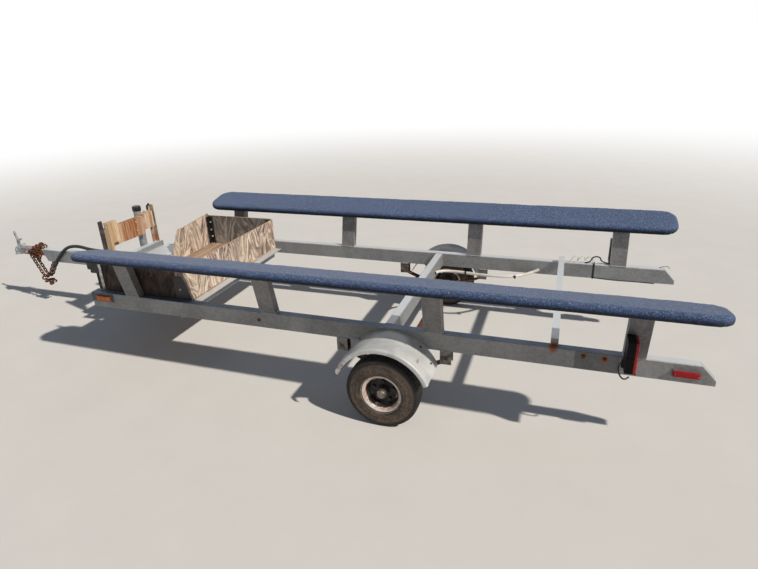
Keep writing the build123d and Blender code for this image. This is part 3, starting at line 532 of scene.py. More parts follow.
# Rim: chalked off-white barrel round a black centre, rust where the two meet.
def wheelPaint(name):
    paint = Paint(name, 0.4)
    reach = paint.away(wheelX, wheelZ)
    cloud = paint.speckle(18, 5, 0.65, 0.5)
    fine = paint.speckle(90, 4, 0.7)
    pale = cloud.blend(0.35, 0.68, "#e0d5cd", "#b7a297")
    black = cloud.blend(0.42, 0.7, "#141213", "#4c4644", 0.5)
    paint.colour = (reach + (cloud - 0.5) * 0.02).blend(*marks["blackTo"], black, pale)
    seam = reach.band(*marks["wheelSeam"]) * fine.rise(0.45, 0.6)
    rim = reach.rise(*marks["rimEdge"]) * fine.rise(0.5, 0.64)
    rust = (seam * 0.8).most(rim * 0.7)
    paint.coat(rust, paint.mix(fine, "#8a5636", "#5a3422"))
    rough = cloud.rise(0.3, 0.7, 0.4, 0.6) + rust * 0.3
    return paint.finish(rough, (fine * 0.4 - rust, 0.0006, 0.6))


# Hub: blackened flange, bright nuts, dull steel grease cap.
def hubSteel(name):
    paint = Paint(name, 0.5)
    reach = paint.away(wheelX, wheelZ)
    fine = paint.speckle(70, 5, 0.7)
    nuts = reach.band(*marks["hubNuts"]) * abs(paint.axis("Y")).rise(*marks["hubFace"])
    cap = 1 - reach.rise(*marks["hubCap"])
    paint.colour = fine.blend(0.45, 0.65, "#211e1e", "#4b3c33")
    paint.coat(cap, fine.blend(0.4, 0.66, "#8d867e", "#4a423b"))
    paint.coat(nuts, fine.blend(0.5, 0.7, "#d9d8d4", "#8d7f74"))
    metal = nuts.most(cap) * 0.6
    return paint.finish(0.55 - metal * 0.35, (paint.speckle(160), 0.0004, 0.5), metal)


# Moulded lens: clear colour over a ribbed inner face.
def lampLens(name, base, deep, glow):
    paint = Paint(name, 0.2)
    paint.constants({"Coat Weight": 0.2, "Coat Roughness": 0.2})
    ribs = paint.node("TexWave", {"Vector": paint.place, "Scale": 60}, {"bands_direction": "Z"})
    film = paint.speckle(16, 4, 0.6)
    paint.colour = film.blend(0.45, 0.75, paint.mix(ribs, base, deep), glow, 0.35)
    return paint.finish(film.rise(0.3, 0.7, 0.2, 0.4), (ribs, 0.0008, 0.35))


def plainPlastic(name, base, film, dust=0.3, rough=(0.4, 0.62), gloss=0.45):
    paint = Paint(name, gloss)
    cloud = paint.speckle(20, 4, 0.65)
    paint.colour = cloud.blend(0.4, 0.72, base, film, dust)
    return paint.finish(cloud.rise(0.3, 0.7, *rough), (paint.speckle(420, 2), 0.0003, 0.5))


# Bare plated steel on bolts and nuts.
def brightZinc(name, base, dark, rust):
    paint = Paint(name, 0.5, 0.75)
    cloud = paint.speckle(45, 4, 0.65)
    spots = paint.speckle(75, 5, 0.7).rise(0.6, 0.7) * rust
    paint.colour = paint.mix(spots, cloud.blend(0.35, 0.7, base, dark), "#80502e")
    rough = cloud.rise(0.3, 0.7, 0.28, 0.5) + spots * 0.3
    return paint.finish(rough, (paint.speckle(150), 0.0004, 0.5))


# Finishes: the solids that wear each, and how it is made

otherTubes = "rail_right crossmember_front crossmember_axle rear_bar stop_bar"
springMounts = "spring_hangers_left spring_hangers_right spring_clamp_left spring_clamp_right"
chains = "safety_chain_left safety_chain_right chain_eyes"
looks = {
    "nearRail": ("rail_left", zincSteel, "#878889", "#777878", 0.25, 0.4, 0.5, True, True),
    "rail": (otherTubes, zincSteel, "#898c8e", "#787b7d", 0.25, 0.4, 0.5, True),
    # The posts' zinc is darker than the rails' as painted shade under the bunks.
    "post": ("posts_left posts_right", zincSteel, "#757475", "#636262", 0.25, 0.3),
    "tongue": ("tongue_outer crossmember_bin bow_plate bin_ledges", zincSteel, "#8c9093", "#74787b", 0.45, 0.7),
    "rust": (springMounts, rustySteel, 0.4, "#4b4b4c", "#614434", "#2e2622"),
    "inner": ("tongue_inner", rustySteel, 0.62, "#8d8489", "#c7743a", "#8a5638"),
    "chain": (chains, rustySteel, 0.9, "#3f3a37", "#7a4a2f", "#241813"),
    "hooks": ("", rustySteel, 0.85, "#2b2624", "#6e4029", "#20130e"),
    "spring": ("axle_beam spring_left spring_right", rustySteel, 0.6, "#3b3a38", "#6f452e", "#2e201a"),
    "coupler": ("coupler_body coupler_latch", couplerSteel),
    "bolt": ("", brightZinc, "#d2d3d2", "#8e9091", 0.3),
    "oldBolt": ("", rustySteel, 0.85, "#7d7a76", "#8a4f2b", "#43291c"),
    "carpet": ("bunk_left bunk_right", carpetPile, "#4a608d", "#3a4c74", "#a0b3d3", "#6a82ac"),
    "ply": ("bin_wall_rear bin_wall_front", plyFace, "#e0d1bd", "#97847a", "#463731"),
    # The left wall's outer face is a darker, browner copy of the plywood, as painted shade.
    "plyShade": ("bin_wall_left", plyFace, "#4d433d", "#2d2623", "#110e0d", "Y", 0.15),
    "plyGrey": ("bin_wall_right", plyFace, "#b5b0ab", "#7d7874", "#443f3c", "Y", 0.1),
    "plyFloor": ("bin_floor", boardFace, "#b9a591", "#957b66", "#5d4638", "Y"),
    "board": ("stop_board", boardFace, "#d0b59b", "#b49072", "#6a432c", "Z", (0.12, "#8f5a33")),
    "cleat": ("stop_cleat", boardFace, "#d9c3a2", "#bd9f7a", "#86664a", "Z"),
    "fender": ("fender_left", fenderPaint),
    # The right fender's dark blue-grey is painted shade from its bunk.
    "farFender": ("fender_right", fenderPaint, "#3d4b5c"),
    "rim": ("rim_left rim_right", wheelPaint),
    "hub": ("hub_left hub_right", hubSteel),
    "rubber": ("tyre_left tyre_right", tyreRubber),
    "black": ("bin_corner_angles stop_hook bunk_brackets", blackSteel),
    # The gussets are black steel, darkened further as painted shade.
    "dark": ("bin_gussets", blackSteel, "#262322", "#5a534e", 0.35),
    "underWood": ("", boardFace, "#b89a74", "#94744f", "#6a4d32", "X"),
    "upright": ("stop_uprights", uprightSteel),
    "lamp": ("lamp_housing_left lamp_housing_right", plainPlastic, "#050506", "#161617", 0.3, (0.5, 0.7), 0.12),
    "markerBase": ("marker_bases", plainPlastic, "#3f4a4e", "#6a7274", 0.5),
    "red": ("tail_lenses markers_red", lampLens, "#ad0c18", "#74070f", "#b5212c"),
    "amber": ("markers_amber", lampLens, "#e8701a", "#b8500c", "#f4a85c"),
    # The jack's zinc is paler than the other tubes' as painted sunlight.
    "jack": ("jack_tube jack_bracket jack_leg jack_crank", zincSteel, "#9b9ea2", "#7c7f84", 0.25, 0.5),
    "cap": ("jack_cap", plainPlastic, "#121315", "#3c3d40", 0.3, (0.25, 0.45)),
    "wire": ("", plainPlastic, "#101012", "#3a3a3c", 0.35),
    "conduit": ("", plainPlastic, "#dcdad3", "#b3ad9f", 0.6),
    "weld": ("", zincSteel, "#8b8d8f", "#6c6c6b", 0.4, 1, 0.9),
}
finishes = {}


def dressNodes():
    bare = set(nodes)
    for name, (worn, make, *values) in looks.items():
        finishes[name] = make(name, *values)
        for node in worn.split():
            mesh = nodes[node].data
            mesh.materials.clear()
            mesh.materials.append(finishes[name])
            bare.discard(node)
    print("finishes ready:", len(finishes), "left bare:", sorted(bare))


dressNodes()


# Making pieces


def ridden(name, data, finish, body="frame"):
    piece = bpy.data.objects.new(name, data)
    bpy.context.scene.collection.objects.link(piece)
    data.materials.append(finishes[finish])
    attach(piece, body)
    return piece


def addPiece(name, shape, finish, body="frame", crease=35):
    bmesh.ops.recalc_face_normals(shape, faces=shape.faces)
    mesh = bpy.data.meshes.new(name)
    shape.to_mesh(mesh)
    shape.free()
    mesh.shade_smooth()
    mesh.set_sharp_from_angle(angle=math.radians(crease))
    return ridden(name, mesh, finish, body)


# Rings of points joined into a skin, which goes all round and is capped unless it is a sheet.
def loft(shape, rings, sheet=False):
    rows = [[shape.verts.new(point) for point in ring] for ring in rings]
    size = len(rows[0])
    for here, there in zip(rows, rows[1:]):
        for start in range(size - 1 if sheet else size):
            following = (start + 1) % size
            shape.faces.new((here[start], here[following], there[following], there[start]))
    if not sheet:
        shape.faces.new(rows[0][::-1])
        shape.faces.new(rows[-1])


# Two directions square to a third.
def crossWays(ahead):
    helper = Vector((0, 0, 1)) if abs(ahead.z) < 0.9 else Vector((1, 0, 0))
    first = ahead.cross(helper).normalized()
    return first, ahead.cross(first).normalized()


def ringAt(middle, ahead, radius, count, turn=0.0):
    first, second = crossWays(ahead)
    ring = []
    for step in range(count):
        angle = turn + 2 * math.pi * step / count
        ring.append(middle + first * (radius * math.cos(angle)) + second * (radius * math.sin(angle)))
    return ring


# Turned shape: pairs of a distance outward and a radius.
def turned(shape, place, outward, profile, count, turn=0.0):
    place = Vector(place)
    outward = Vector(outward).normalized()
    loft(shape, [ringAt(place + outward * far, outward, radius, count, turn) for far, radius in profile])


# Round section along a list of points, with a radius for each.
def pipe(shape, points, radii, count):
    rings = []
    for index, point in enumerate(points):
        before = points[max(0, index - 1)]
        after = points[min(len(points) - 1, index + 1)]
        rings.append(ringAt(point, (after - before).normalized(), radii[index], count))
    for index in range(1, len(rings)):
        start = min(range(count), key=lambda turn: (rings[index][turn] - rings[index - 1][0]).length)
        rings[index] = rings[index][start:] + rings[index][:start]
    loft(shape, rings)


# Block with all its edges eased.
def easedBlock(shape, low, high, ease, turn=None):
    made = bmesh.ops.create_cube(shape, size=1.0)["verts"]
    low = Vector(low)
    high = Vector(high)
    for vert in made:
        vert.co = Vector(((low + high) / 2)[i] + vert.co[i] * (high - low)[i] for i in range(3))
    edges = list({edge for vert in made for edge in vert.link_edges})
    eased = bmesh.ops.bevel(shape, geom=edges, offset=ease, segments=2, affect="EDGES", profile=0.6)
    if turn is not None:
        corners = {vert for face in eased["faces"] for vert in face.verts}
        bmesh.ops.transform(shape, matrix=turn, verts=list(corners))


bolts = {"washer": 1.28, "washerThick": 0.0016, "head": 0.62, "crown": 0.86, "stub": 0.45, "stubRadius": 0.55}


# Hexagon head on its washer, or with a stub of thread where it is a nut.
def hexBolt(shape, place, outward, across, turn, nut=False):
    radius = across / 2
    thick = bolts["washerThick"]
    wide = radius * bolts["washer"]
    top = thick + across * bolts["head"]
    turned(shape, place, outward, [(0, wide), (thick, wide * 0.97)], 18)
    head = [(thick, radius), (top * 0.86, radius), (top, radius * bolts["crown"])]
    turned(shape, place, outward, head, 6, turn)
    if nut:
        long = across * bolts["stub"]
        thin = radius * bolts["stubRadius"]
        turned(shape, place, outward, [(thick, thin), (top + long, thin), (top + long * 1.15, radius * 0.42)], 10)


# Pan-head screw sunk a little into wood.
def panScrew(shape, place, outward, radius):
    profile = [(0, radius), (0.0012, radius * 0.94), (0.0022, radius * 0.6), (0.0009, radius * 0.3)]
    turned(shape, place, outward, profile, 14)


weld = {"radius": 0.0036, "step": 0.006, "sides": 7}


# Lumpy bead of weld along a corner.
def weldBead(shape, start, end):
    radius = weld["radius"]
    count = max(4, round((end - start).length / weld["step"]))
    points = []
    radii = []
    for index in range(count + 1):
        share = index / count
        point = start.lerp(end, share)
        lump = noise.noise(point * 120)
        points.append(point + Vector((lump, noise.noise(point * 90 + Vector((7, 0, 0))), 0)) * radius * 0.35)
        ends = min(1.0, 6 * share + 0.45, 6 * (1 - share) + 0.45)
        radii.append(radius * ends * (1 + 0.22 * math.cos(index * 2.1) + 0.3 * lump))
    pipe(shape, points, radii, weld["sides"])


# Wire or rod as a smooth curve through control points.
def wire(name, points, thick, finish):
    data = bpy.data.curves.new(name, "CURVE")
    data.dimensions = "3D"
    data.bevel_depth = thick / 2
    data.bevel_resolution = 3
    data.resolution_u = 10
    line = data.splines.new("NURBS")
    line.points.add(len(points) - 1)
    for station, point in zip(line.points, points):
        station.co = (*point, 1)
    line.order_u = 3
    line.use_endpoint_u = True
    return ridden(name, data, finish)


# Loose lead over the tongue

lead = {
    "points": [
        (2.615, 0, 0.516),
        (2.740, 0, 0.516),
        (2.875, 0.024, 0.556),
        (2.994, 0.046, 0.526),
        (3.088, 0.056, 0.414),
    ],
    "thick": 0.026,
    "length": 0.532,
    "plugLength": 0.05,
    "plugRadius": 0.017,
    "pinRadius": 0.0019,
    "reliefBack": (0.04, 0.012),
    "reliefHalf": 0.02,
    "reliefHigh": 0.038,
    "reliefEase": 0.004,
    "bootBack": 0.014,
    "screwBack": 0.026,
    "screwRadius": 0.0035,
    "boot": [(0, 0.0185), (0.004, 0.0185), (0.005, 0.016), (0.008, 0.017), (0.009, 0.0145), (0.0138, 0.014)],
    "plug": [
        *[(0, 0.75), (0.08, 0.86), (0.1, 0.74), (0.2, 0.78), (0.22, 0.92), (0.3, 0.94)],
        *[(0.32, 0.8), (0.42, 0.84), (0.45, 1.0), (0.95, 1.0), (1.0, 0.92)],
    ],
}


def layLead():
    points = [spot(*point) for point in lead["points"]]
    cord = wire("lead", points, lead["thick"], "wire")
    cord.data.resolution_u = 24
    cord.data.bevel_depth = 1.0
    for point in cord.data.splines[0].points:
        point.radius = lead["thick"] / 2  # a curve's bounds grow by this value as it is
    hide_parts("wiring_lead")
    shape = bmesh.new()
    ahead = (points[-1] - points[-2]).normalized()
    long = lead["plugLength"]
    radius = lead["plugRadius"]
    turned(shape, points[-1], ahead, [(long * far, radius * wide) for far, wide in lead["plug"]], 20)
    first, second = crossWays(ahead)
    for turn in range(4):
        offset = (first * math.cos(turn * 1.57 + 0.78) + second * math.sin(turn * 1.57 + 0.78)) * radius * 0.5
        pin = [(far, lead["pinRadius"]) for far in (0, 0.0012)]
        turned(shape, points[-1] + ahead * long * 0.97 + offset, ahead, pin, 10)
    plug = addPiece("leadPlug", shape, "wire")
    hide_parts("lead_ends")
    shape = bmesh.new()
    half = lead["reliefHalf"]
    x = points[0].x
    back, front = (x - far for far in lead["reliefBack"])
    top = tongueHigh.z + lead["reliefHigh"]
    easedBlock(shape, (back, -half, tongueHigh.z), (front, half, top), lead["reliefEase"])
    turned(shape, (x - lead["bootBack"], 0, points[0].z), (1, 0, 0), lead["boot"], 20)
    for side in (1, -1):
        panScrew(shape, (x - lead["screwBack"], side * half * 0.6, top), (0, 0, 1), lead["screwRadius"])
    relief = addPiece("leadRelief", shape, "cap")
    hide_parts("lead_ends")


layLead()
print("lead ready")


# Bunks: carpet wrapped round two boards, stapled underneath

bunk = {
    "midY": 0.728,
    "midZ": 0.784,
    "tilt": 12.4,
    "across": 0.282,
    "thick": 0.05,
    "edge": 0.0235,
    "noseRadius": 0.1,
    "crown": 0.0035,
    "lumps": 0.0022,
    "noseRows": 18,
    "rows": 300,
    "columns": 34,
    "woodHalf": 0.062,
    "woodRagged": 0.007,
    "woodRows": 90,
    "staplePitch": 0.085,
    "stapleRadius": 0.0007,
}
bunkLength = bunkHigh.x - bunkLow.x


def bunkTurn(side):
    middle = Vector(((bunkLow.x + bunkHigh.x) / 2, side * bunk["midY"], bunk["midZ"]))
    return Matrix.Translation(middle) @ Matrix.Rotation(side * math.radians(bunk["tilt"]), 4, "X")


# How far a place on the board's plan lies inside the board's outline.
def insideOutline(fromEnd, across):
    half = bunk["across"] / 2
    nose = bunk["noseRadius"]
    if fromEnd < nose and across > half - nose:
        return nose - math.hypot(nose - fromEnd, across - half + nose)
    return min(fromEnd, half - across)


def carpetBunk(name, side):
    length = bunkLength
    half = bunk["across"] / 2
    nose = bunk["noseRadius"]
    edge = bunk["edge"]
    thick = bunk["thick"] / 2
    lumps = bunk["lumps"]
    fronts = [nose * (1 - math.cos(math.pi / 2 * step / bunk["noseRows"])) for step in range(bunk["noseRows"])]
    middles = [nose + (length - 2 * nose) * step / bunk["rows"] for step in range(bunk["rows"] + 1)]
    stations = fronts + middles + [length - far for far in reversed(fronts)]
    columns = bunk["columns"]
    spread = [math.sin(math.pi / 2 * (2 * step / columns - 1)) for step in range(columns + 1)]
    turn = bunkTurn(side)
    shape = bmesh.new()
    rings = []
    for station in stations:
        fromEnd = min(station, length - station)
        wide = half
        if fromEnd < nose:
            wide = half - nose + math.sqrt(max(0.0, nose**2 - (nose - fromEnd) ** 2))
        ring = []
        for face, order in ((1, spread), (-1, spread[::-1])):
            for share in order:
                across = share * wide
                inside = max(0.0, insideOutline(fromEnd, abs(across)))
                up = thick - edge
                up += math.sqrt(edge**2 - (edge - inside) ** 2) if inside < edge else edge
                point = Vector((station - length / 2, across, face * up))
                lump = noise.noise(point * 9 + Vector((0, side * 5, 0))) + 0.6 * noise.noise(point * 31)
                rim = max(0.0, 1 - inside / 0.05)
                wrinkle = noise.noise(Vector((point.x * 46, point.y * 7, side * 3.0))) * rim
                if fromEnd < nose:
                    around = math.atan2(abs(across), nose - fromEnd)
                    wrinkle += 0.7 * math.sin(around * 22 + point.y * 40) * rim
                if face > 0:
                    point.z += bunk["crown"] * (1 - share**2) + lumps * (lump + 0.5 * wrinkle)
                elif inside < edge:
                    point.z -= lumps * 0.4 * wrinkle
                point.y += (1 if across > 0 else -1) * lumps * 0.8 * (lump * 0.5 + wrinkle) * rim
                ring.append(turn @ point)
        rings.append(ring)
    loft(shape, rings)
    piece = addPiece(name, shape, "carpet", crease=80)
    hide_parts("bunk_left" if side > 0 else "bunk_right")


# Bare wood between the carpet's edges below, and the staples that hold them.
def bunkUnderside(side, word):
    reach = bunkLength / 2 - bunk["noseRadius"]
    turn = bunkTurn(side)
    under = -bunk["thick"] / 2
    wood = bmesh.new()
    rings = []
    for step in range(bunk["woodRows"] + 1):
        x = -reach + 2 * reach * step / bunk["woodRows"]
        edges = [noise.noise(Vector((x * 5, side * 2.0, far))) for far in (0, 9.0)]
        half, other = [bunk["woodHalf"] + bunk["woodRagged"] * ragged for ragged in edges]
        section = [(-half, 0.004), (other, 0.004), (other, -0.0002), (-half, -0.0002)]
        rings.append([turn @ Vector((x, y, under + z)) for y, z in section])
    loft(wood, rings)
    addPiece(f"bunkWood_{word}", wood, "underWood")
    staples = bmesh.new()
    pitch = bunk["staplePitch"]
    for step in range(int(2 * reach / pitch)):
        for edge in (1, -1):
            x = -reach + pitch * (step + 0.5) + 0.02 * noise.noise(Vector((step * 0.7, edge, side)))
            away = bunk["woodHalf"] + 0.018 + 0.004 * noise.noise(Vector((step * 1.3, edge * 3.0, side)))
            middle = Vector((x, edge * away, under - 0.0006))
            lean = Vector((0.0055, 0.0022 * noise.noise(Vector((step, 4.0, edge))), 0))
            pipe(staples, [turn @ (middle - lean), turn @ (middle + lean)], [bunk["stapleRadius"]] * 2, 5)
    addPiece(f"staples_{word}", staples, "bolt")


for word, side in sides.items():
    carpetBunk(f"carpetBunk_{word}", side)
    bunkUnderside(side, word)
print("bunks ready")


# Tyres

tyre = {
    "steps": 320,
    "treadHalf": 0.043,
    "treadSteps": 44,
    "grooves": (-0.027, -0.0092, 0.0092, 0.027),
    "grooveHalf": 0.0027,
    "grooveDeep": 0.0052,
    "zigzag": 0.0024,
    "zigzags": 40,
    "notches": 64,
    "notchDeep": 0.0034,
    "notchFrom": 0.0345,
    "sidewall": [
        *[(0.0465, 0.1008), (0.0535, 0.112), (0.0552, 0.1175), (0.0588, 0.1235), (0.0606, 0.1242)],
        *[(0.061, 0.1275), (0.0598, 0.1286), (0.0603, 0.138), (0.061, 0.1395), (0.061, 0.1425)],
        *[(0.0602, 0.1438), (0.06, 0.158), (0.0588, 0.171), (0.0592, 0.1725), (0.0586, 0.1755)],
        *[(0.0574, 0.1765), (0.0552, 0.1875), (0.0522, 0.1945), (0.048, 0.1998)],
    ],
    "treadEdge": 0.2028,
    "crown": 0.205,
    "valveFrom": 0.088,
    "valveAngle": 0.9,
    "valve": [
        *[(0, 0.0058), (0.004, 0.0056), (0.006, 0.0042), (0.02, 0.0038)],
        *[(0.021, 0.0042), (0.028, 0.0042), (0.029, 0.003)],
    ],
    "capRing": [(0, 0.0258), (0.0012, 0.0268), (0.0036, 0.0268), (0.0048, 0.0258)],
    "capRingBack": 0.026,
}


def treadCut(across, angle):
    turns = angle / (2 * math.pi)
    saw = abs((turns * tyre["zigzags"]) % 1 - 0.5) * 4 - 1
    cut = 0.0
    for groove in tyre["grooves"]:
        away = abs(across - groove - saw * tyre["zigzag"] / 2)
        cut = max(cut, tyre["grooveDeep"] * max(0.0, min(1.0, 1.9 - 1.5 * away / tyre["grooveHalf"])))
    if abs(across) > tyre["notchFrom"]:
        start = (turns * tyre["notches"] + (0.5 if across > 0 else 0)) % 1
        cut = max(cut, tyre["notchDeep"] * (1 if start < 0.3 else 0))
    return cut


def ribbedTyre(name, side, body, node):
    half = tyre["treadHalf"]
    crown = tyre["crown"]
    profile = [(-across, radius, False) for across, radius in tyre["sidewall"]]
    for step in range(tyre["treadSteps"] + 1):
        across = -half + 2 * half * step / tyre["treadSteps"]
        radius = crown - (crown - tyre["treadEdge"]) * (abs(across) / half) ** 2.6
        profile.append((across, radius, True))
    profile += [(across, radius, False) for across, radius in reversed(tyre["sidewall"])]
    shape = bmesh.new()
    rings = []
    for turn in range(tyre["steps"]):
        angle = 2 * math.pi * turn / tyre["steps"]
        ring = []
        for across, radius, tread in profile:
            if tread:
                radius -= treadCut(across, angle)
            ring.append(aroundWheel(radius, angle, side * (wheelY + across)))
        rings.append(ring)
    rings.append(rings[0])
    loft(shape, rings, sheet=True)
    bmesh.ops.remove_doubles(shape, verts=shape.verts, dist=0.00002)
    piece = addPiece(name, shape, "rubber", body, crease=40)
    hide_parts(node)


# Rubber valve with its cap, and the grease cap's rolled edge.
def wheelTrim(name, side, body):
    shape = bmesh.new()
    foot = aroundWheel(tyre["valveFrom"], tyre["valveAngle"], side * (wheelY + 0.018))
    turned(shape, foot, (0.28, side * 0.96, 0.1), tyre["valve"], 14)
    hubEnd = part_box("hub_left")[1].y
    y = side * (hubEnd - tyre["capRingBack"])
    turned(shape, (wheelX, y, wheelZ), (0, side, 0), tyre["capRing"], 40)
    addPiece(name, shape, "black", body)


for word, side in sides.items():
    ribbedTyre(f"ribbedTyre_{word}", side, f"wheel_{word}", f"tyre_{word}")
    wheelTrim(f"valveAndCapRing_{word}", side, f"wheel_{word}")
print("tyres ready")


# Fenders: rolled sheet with a turned-down outer edge, on two straps

fender = {
    "radius": 0.28,
    "from": 22,
    "to": 158,
    "inner": 0.6604,
    "outer": 0.89,
    "skirt": 0.026,
    "corner": 0.007,
    "hem": 0.0035,
    "sheet": 0.002,
    "rows": 96,
    "columns": 26,
    "dents": 0.0035,
    "straps": (52, 128),
    "strapHalf": 0.016,
    "strapThick": 0.005,
    "foot": 0.06,
}


def fenderSection():
    inner = fender["inner"]
    outer = fender["outer"]
    corner = fender["corner"]
    hem = fender["hem"]
    low = hem - fender["skirt"]
    section = []
    for step in range(fender["columns"] + 1):
        section.append((inner + (outer - corner - inner) * step / fender["columns"], 0.0))
    for step in range(1, 6):
        angle = math.pi / 2 * step / 5
        section.append((outer - corner + corner * math.sin(angle), -corner * (1 - math.cos(angle))))
    section += [(outer, -fender["skirt"] / 2), (outer, low)]
    for step in range(1, 8):
        angle = math.pi * 1.35 * step / 7
        section.append((outer - hem + hem * math.cos(angle), low - hem * math.sin(angle)))
    return section


def dentedFender(name, side, node):
    shape = bmesh.new()
    rings = []
    section = fenderSection()
    for row in range(fender["rows"] + 1):
        share = row / fender["rows"]
        angle = math.radians(fender["from"] + (fender["to"] - fender["from"]) * share)
        ring = []
        for y, drop in section:
            point = Vector((share * 0.7, y, side * 4.0))
            dent = noise.noise(point * 9) * 0.6 + noise.noise(point * 23) * 0.3
            dent = min(0.0, dent) * fender["dents"] * (1 if drop > -fender["corner"] else 0.4)
            radius = fender["radius"] - 0.0012 + drop + dent
            ring.append(aroundWheel(radius, angle, side * y))
        rings.append(ring)
    loft(shape, rings, sheet=True)
    bmesh.ops.recalc_face_normals(shape, faces=shape.faces)
    bmesh.ops.solidify(shape, geom=shape.faces[:], thickness=fender["sheet"] * 0.55)
    inner = fender["inner"]
    half = fender["strapHalf"]
    thick = fender["strapThick"]
    radius = fender["radius"] - fender["sheet"] - fender["dents"]
    for degrees in fender["straps"]:
        turn = Matrix.Translation((wheelX, 0, wheelZ)) @ Matrix.Rotation(math.radians(-degrees), 4, "Y")
        strap = (inner, fender["outer"] - 0.008, radius - thick)
        foot = (inner, inner + thick, radius - fender["foot"])
        for near, far, low in (strap, foot):
            y0, y1 = sorted((side * near, side * far))
            easedBlock(shape, (low, y0, -half), (radius, y1, half), 0.0009, turn)
    piece = addPiece(name, shape, "fender" if side > 0 else "farFender", crease=40)
    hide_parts(node)


for word, side in sides.items():
    dentedFender(f"dentedFender_{word}", side, f"fender_{word}")
print("fenders ready")


# Bolts and screws: stations from the axle, the way out of the surface, the size across flats

ways = {"+X": (1, 0, 0), "-X": (-1, 0, 0), "+Y": (0, 1, 0), "-Y": (0, -1, 0), "+Z": (0, 0, 1)}
boltRows = {
    "bolt": [
        (2.013, -0.5936, 0.502, "+Y", 0.014),
        (2.016, -0.5936, 0.56, "+Y", 0.014),
        (2.014, -0.5936, 0.626, "+Y", 0.014),
        (1.402, 0.6146, 0.563, "+Y", 0.01),
        (3.43, 0.0301, 0.462, "+Y", 0.016),
        (3.43, -0.0301, 0.462, "-Y", 0.016),
        (3.492, 0.0071, 0.515, "+Y", 0.015),
        (3.492, -0.0071, 0.515, "-Y", 0.015),
    ],
    "oldBolt": [(x, -0.0398, z, "-Y", 0.016) for z in (0.419, 0.471) for x in (2.326, 2.398)],
}
pairedBolts = {
    "bolt": [
        (1.4535, 0.5845, 0.6, "+X", 0.013),
        (1.4535, 0.5845, 0.49, "+X", 0.013),
        (2.076, 0.3, 0.5016, "+Z", 0.016),
        (2.076, 0.08, 0.5016, "+Z", 0.016),
        (2.33, 0.262, 0.521, "+X", 0.016),
    ],
    "oldBolt": [
        (-0.985, 0.6604, 0.47, "+Y", 0.016),
        (-1.083, 0.6604, 0.468, "+Y", 0.016),
        (0.83, 0.6604, 0.443, "+Y", 0.014),
        (0.151, 0.6655, 0.4, "+Y", 0.014),
        (-0.151, 0.6655, 0.4, "+Y", 0.014),
        (-1.17, 0.6644, 0.458, "+Y", 0.012),
        (-1.196, 0.6644, 0.458, "+Y", 0.012),
    ],
}
wheelBolts = {
    "clampX": (-0.0282, 0.0282),
    "clampY": (0.6068, 0.6633),
    "clampAcross": 0.016,
    "fender": ((148, 0.735), (128, 0.7), (52, 0.7)),
    "fenderRadius": 0.2795,
    "fenderAcross": 0.009,
}


def fitWheelBolts(shape, turn):
    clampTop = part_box("spring_clamp_left")[1].z
    for side in (1, -1):
        for x in wheelBolts["clampX"]:
            for y in wheelBolts["clampY"]:
                hexBolt(shape, spot(x, side * y, clampTop), (0, 0, 1), wheelBolts["clampAcross"], turn, nut=True)
        for degrees, y in wheelBolts["fender"]:
            place = aroundWheel(wheelBolts["fenderRadius"], math.radians(degrees), side * y)
            out = place - Vector((wheelX, side * y, wheelZ))
            hexBolt(shape, place, out, wheelBolts["fenderAcross"], turn)


def fitBolts():
    for finish in boltRows:
        shape = bmesh.new()
        rows = list(boltRows[finish])
        for x, y, z, way, across in pairedBolts[finish]:
            rows += [(x, side * y, z, "-Y" if way == "+Y" and side < 0 else way, across) for side in (1, -1)]
        turn = 0.2
        for x, y, z, way, across in rows:
            hexBolt(shape, spot(x, y, z), ways[way], across, turn)
            turn += 0.37
        if finish == "oldBolt":
            fitWheelBolts(shape, turn)
        addPiece(f"{finish}Heads", shape, finish)


# Screws in wood: their station, how far left, how high, the way out and the head's radius
woodScrews = {
    "cleat": (2.268, (0.257,), (0.715, 0.805), "+Y", 0.0065),
    "board": (2.287, (0.235, -0.05, -0.155, -0.225), (0.7, 0.765), "-X", 0.006),
    "strip": (2.029, (0.6128,), (0.515, 0.57, 0.625, 0.675), "+Y", 0.004),
}
lampScrews = {"marker": 0.0019, "markerEnd": 0.008, "lens": 0.0032, "lensSide": (0.014, 0.078)}


def screwWood(shape, name):
    x, across, heights, way, radius = woodScrews[name]
    for y in across:
        for z in heights:
            panScrew(shape, spot(x, y, z), ways[way], radius)


def fitScrews():
    shape = bmesh.new()
    screwWood(shape, "cleat")
    screwWood(shape, "board")
    end = lampScrews["markerEnd"]
    for low, high in (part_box("markers_red"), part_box("markers_amber")):
        for side in (1, -1):
            for x in (low.x + end, high.x - end):
                panScrew(shape, (x, side * high.y, (low.z + high.z) / 2), (0, side, 0), lampScrews["marker"])
    low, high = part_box("tail_lenses")
    tall = (high.z - low.z) / 2
    for side in (1, -1):
        for z in (low.z + tall * 0.5, low.z + tall * 1.5):
            for inward in lampScrews["lensSide"]:
                panScrew(shape, (low.x, side * (high.y - inward), z), (-1, 0, 0), lampScrews["lens"])
    addPiece("screwHeads", shape, "bolt")


# Welds: runs between stations, each on both sides of the trailer
seams = {
    "posts": (1.755, 0.766, -0.23, -1.212),
    "postHalf": 0.0508,
    "tubes": ("crossmember_front", "crossmember_axle", "rear_bar"),
    "bowStop": [
        ((2.279, 0.032, 0.5016), (2.279, 0.285, 0.5016)),
        ((2.33, 0.006, railHigh.z), (2.33, tongueHigh.y, railHigh.z)),
        ((2.29, 0.262, 0.5466), (2.33, 0.262, 0.5466)),
        ((2.33, 0.235, 0.5466), (2.33, 0.265, 0.5466)),
    ],
    "hangers": (-0.3, 0.3),
    "hangerHalf": 0.03,
    "hangerSides": (0.607, 0.663),
}


